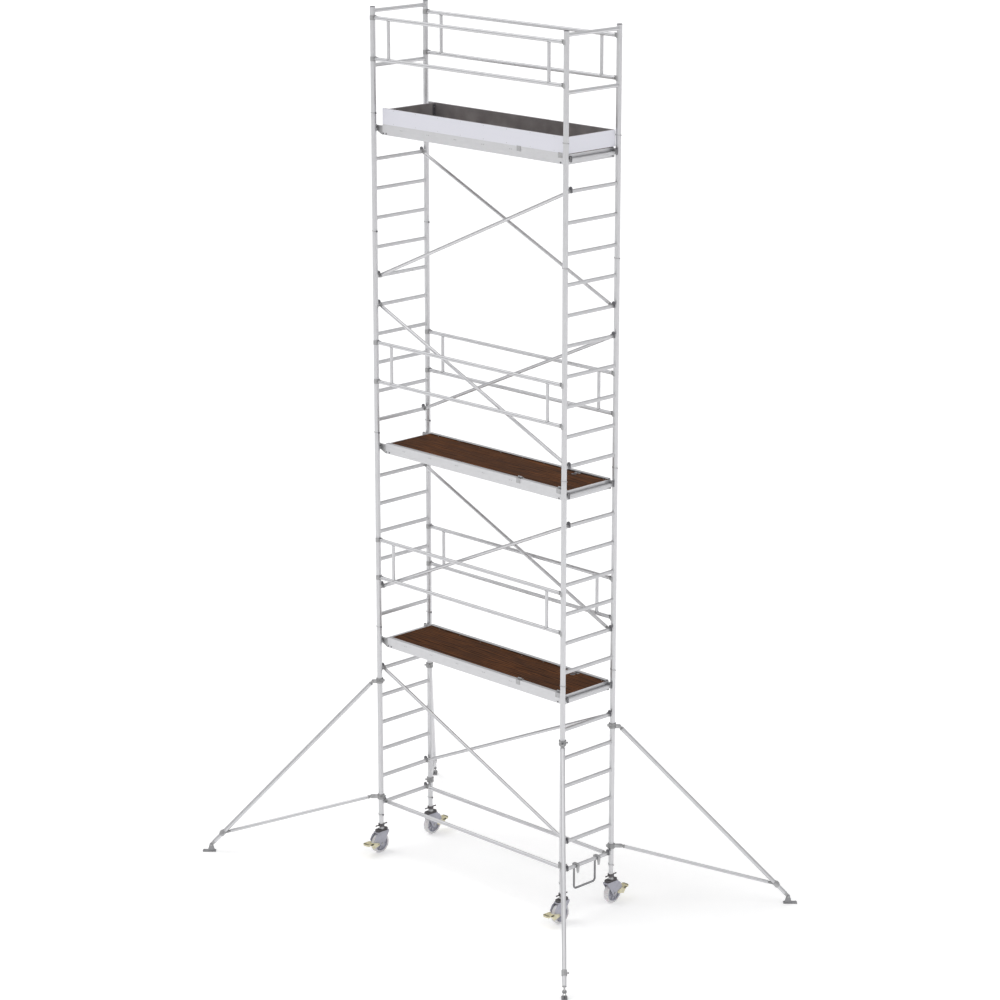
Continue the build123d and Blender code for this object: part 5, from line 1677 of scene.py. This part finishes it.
# ---- stage -------------------------------------------------------------------------------------
class TOWER_OT_stage(Operator):
    """Makes the floor, the soft lights and the camera"""

    bl_idname = "tower.build_stage"
    bl_label = "Stage"

    azimuth: FloatProperty(name="Azimuth", description="Side that the camera looks from",
                           default=math.radians(45.23), subtype="ANGLE")
    elevation: FloatProperty(name="Elevation", description="Camera's angle above level",
                             default=math.radians(15.70), subtype="ANGLE")
    distance: FloatProperty(name="Distance", description="Camera to its target", default=29.5,
                            min=0.1, unit="LENGTH")
    lens: FloatProperty(name="Lens", description="Focal length in millimetres", default=112.67,
                        min=1.0)
    target: FloatVectorProperty(name="Target", description="Point in the middle of the view",
                                default=(0.0896, -0.0033, 3.8405), subtype="XYZ", unit="LENGTH")

    def execute(self, context):
        scene = context.scene
        self.floor(scene)
        self.lights(scene)
        self.camera(scene)
        scene.view_settings.view_transform = "Standard"
        scene.view_settings.look = "None"
        return {"FINISHED"}

    def floor(self, scene):
        """A pale sweep of floor, wide enough to fill the view to its top."""
        mesh = bpy.data.meshes.new("floor")
        disc = bmesh.new()
        bmesh.ops.create_circle(disc, cap_ends=True, segments=96, radius=160.0)
        disc.to_mesh(mesh)
        disc.free()
        material, tree, shader = new_finish("matt white floor", 0.0, 0.85)
        grain = speckle(tree, 600 * MM)
        pale = Vector(scene.tower_finish.floor)
        dress(tree, shader, blend(tree, grain, dimmed(pale, 0.985), pale, 0.3, 0.7))
        # a little light of its own keeps the floor white where the tower shades it
        shader.inputs["Emission Color"].default_value = (1.0, 1.0, 1.0, 1.0)
        shader.inputs["Emission Strength"].default_value = 0.2
        mesh.materials.append(material)
        floor = bpy.data.objects.new("floor", mesh)
        scene.collection.objects.link(floor)

    def lights(self, scene):
        """A bright even room and two broad lamps."""
        world = bpy.data.worlds.new("studio")
        scene.world = world
        world.use_nodes = True
        tree = world.node_tree
        back = tree.nodes["Background"]
        place = add(tree, "ShaderNodeTexCoord")
        split = add(tree, "ShaderNodeSeparateXYZ", inputs={0: place.outputs["Generated"]})
        sky = blend(tree, split.outputs["Z"], (0.5, 0.5, 0.51), (1.0, 1.0, 1.0), 0.15, 0.9)
        tree.links.new(sky, back.inputs["Color"])
        back.inputs["Strength"].default_value = 0.8
        # name, turn in degrees, strength, and the angle that makes its shadows soft
        lamps = (("key", (30, 0, -55), 0.8, 40), ("fill", (34, 0, 100), 0.35, 60))
        for name, angles, strength, size in lamps:
            lamp = bpy.data.lights.new(name, "SUN")
            lamp.energy = strength
            lamp.angle = math.radians(size)
            holder = bpy.data.objects.new(name, lamp)
            holder.rotation_euler = [math.radians(a) for a in angles]
            scene.collection.objects.link(holder)

    def camera(self, scene):
        lens = bpy.data.cameras.new("camera")
        lens.lens = self.lens
        lens.sensor_width = 36.0
        lens.clip_end = 500.0
        holder = bpy.data.objects.new("camera", lens)
        back = Vector((math.sin(self.azimuth) * math.cos(self.elevation),
                       -math.cos(self.azimuth) * math.cos(self.elevation),
                       math.sin(self.elevation)))
        holder.location = Vector(self.target) + back * self.distance
        holder.rotation_euler = back.to_track_quat("Z", "Y").to_euler()
        scene.collection.objects.link(holder)
        scene.camera = holder


# ---- panel -------------------------------------------------------------------------------------
BUILDERS = (
    TOWER_OT_frames, TOWER_OT_post_fittings, TOWER_OT_braces, TOWER_OT_guardrails,
    TOWER_OT_platforms, TOWER_OT_hatches, TOWER_OT_toe_boards, TOWER_OT_step_bracket,
    TOWER_OT_caster_spindles, TOWER_OT_casters, TOWER_OT_outriggers, TOWER_OT_stage,
)


class TOWER_PT_scaffold(Panel):
    """Lists the sizes, colours and builders of the tower"""

    bl_idname = "TOWER_PT_scaffold"
    bl_label = "Mobile Tower Scaffold"
    bl_space_type = "VIEW_3D"
    bl_region_type = "UI"
    bl_category = "Scaffold"

    def draw(self, context):
        for key, group in SETTINGS.items():
            box = self.layout.box()
            box.label(text=group.__doc__.split(".")[0])
            for name in group.__annotations__:
                box.prop(getattr(context.scene, key), name)
        for builder in BUILDERS:
            self.layout.operator(builder.bl_idname)


def register():
    for group in SETTINGS.values():
        bpy.utils.register_class(group)
    for key, group in SETTINGS.items():
        setattr(bpy.types.Scene, key, PointerProperty(type=group))
    for builder in (*BUILDERS, TOWER_PT_scaffold):
        bpy.utils.register_class(builder)


def unregister():
    for builder in reversed((*BUILDERS, TOWER_PT_scaffold)):
        bpy.utils.unregister_class(builder)
    for key, group in SETTINGS.items():
        delattr(bpy.types.Scene, key)
        bpy.utils.unregister_class(group)


def main():
    register()
    for builder in BUILDERS:
        group, name = builder.bl_idname.split(".")
        getattr(getattr(bpy.ops, group), name)()


if __name__ == "__main__":
    main()
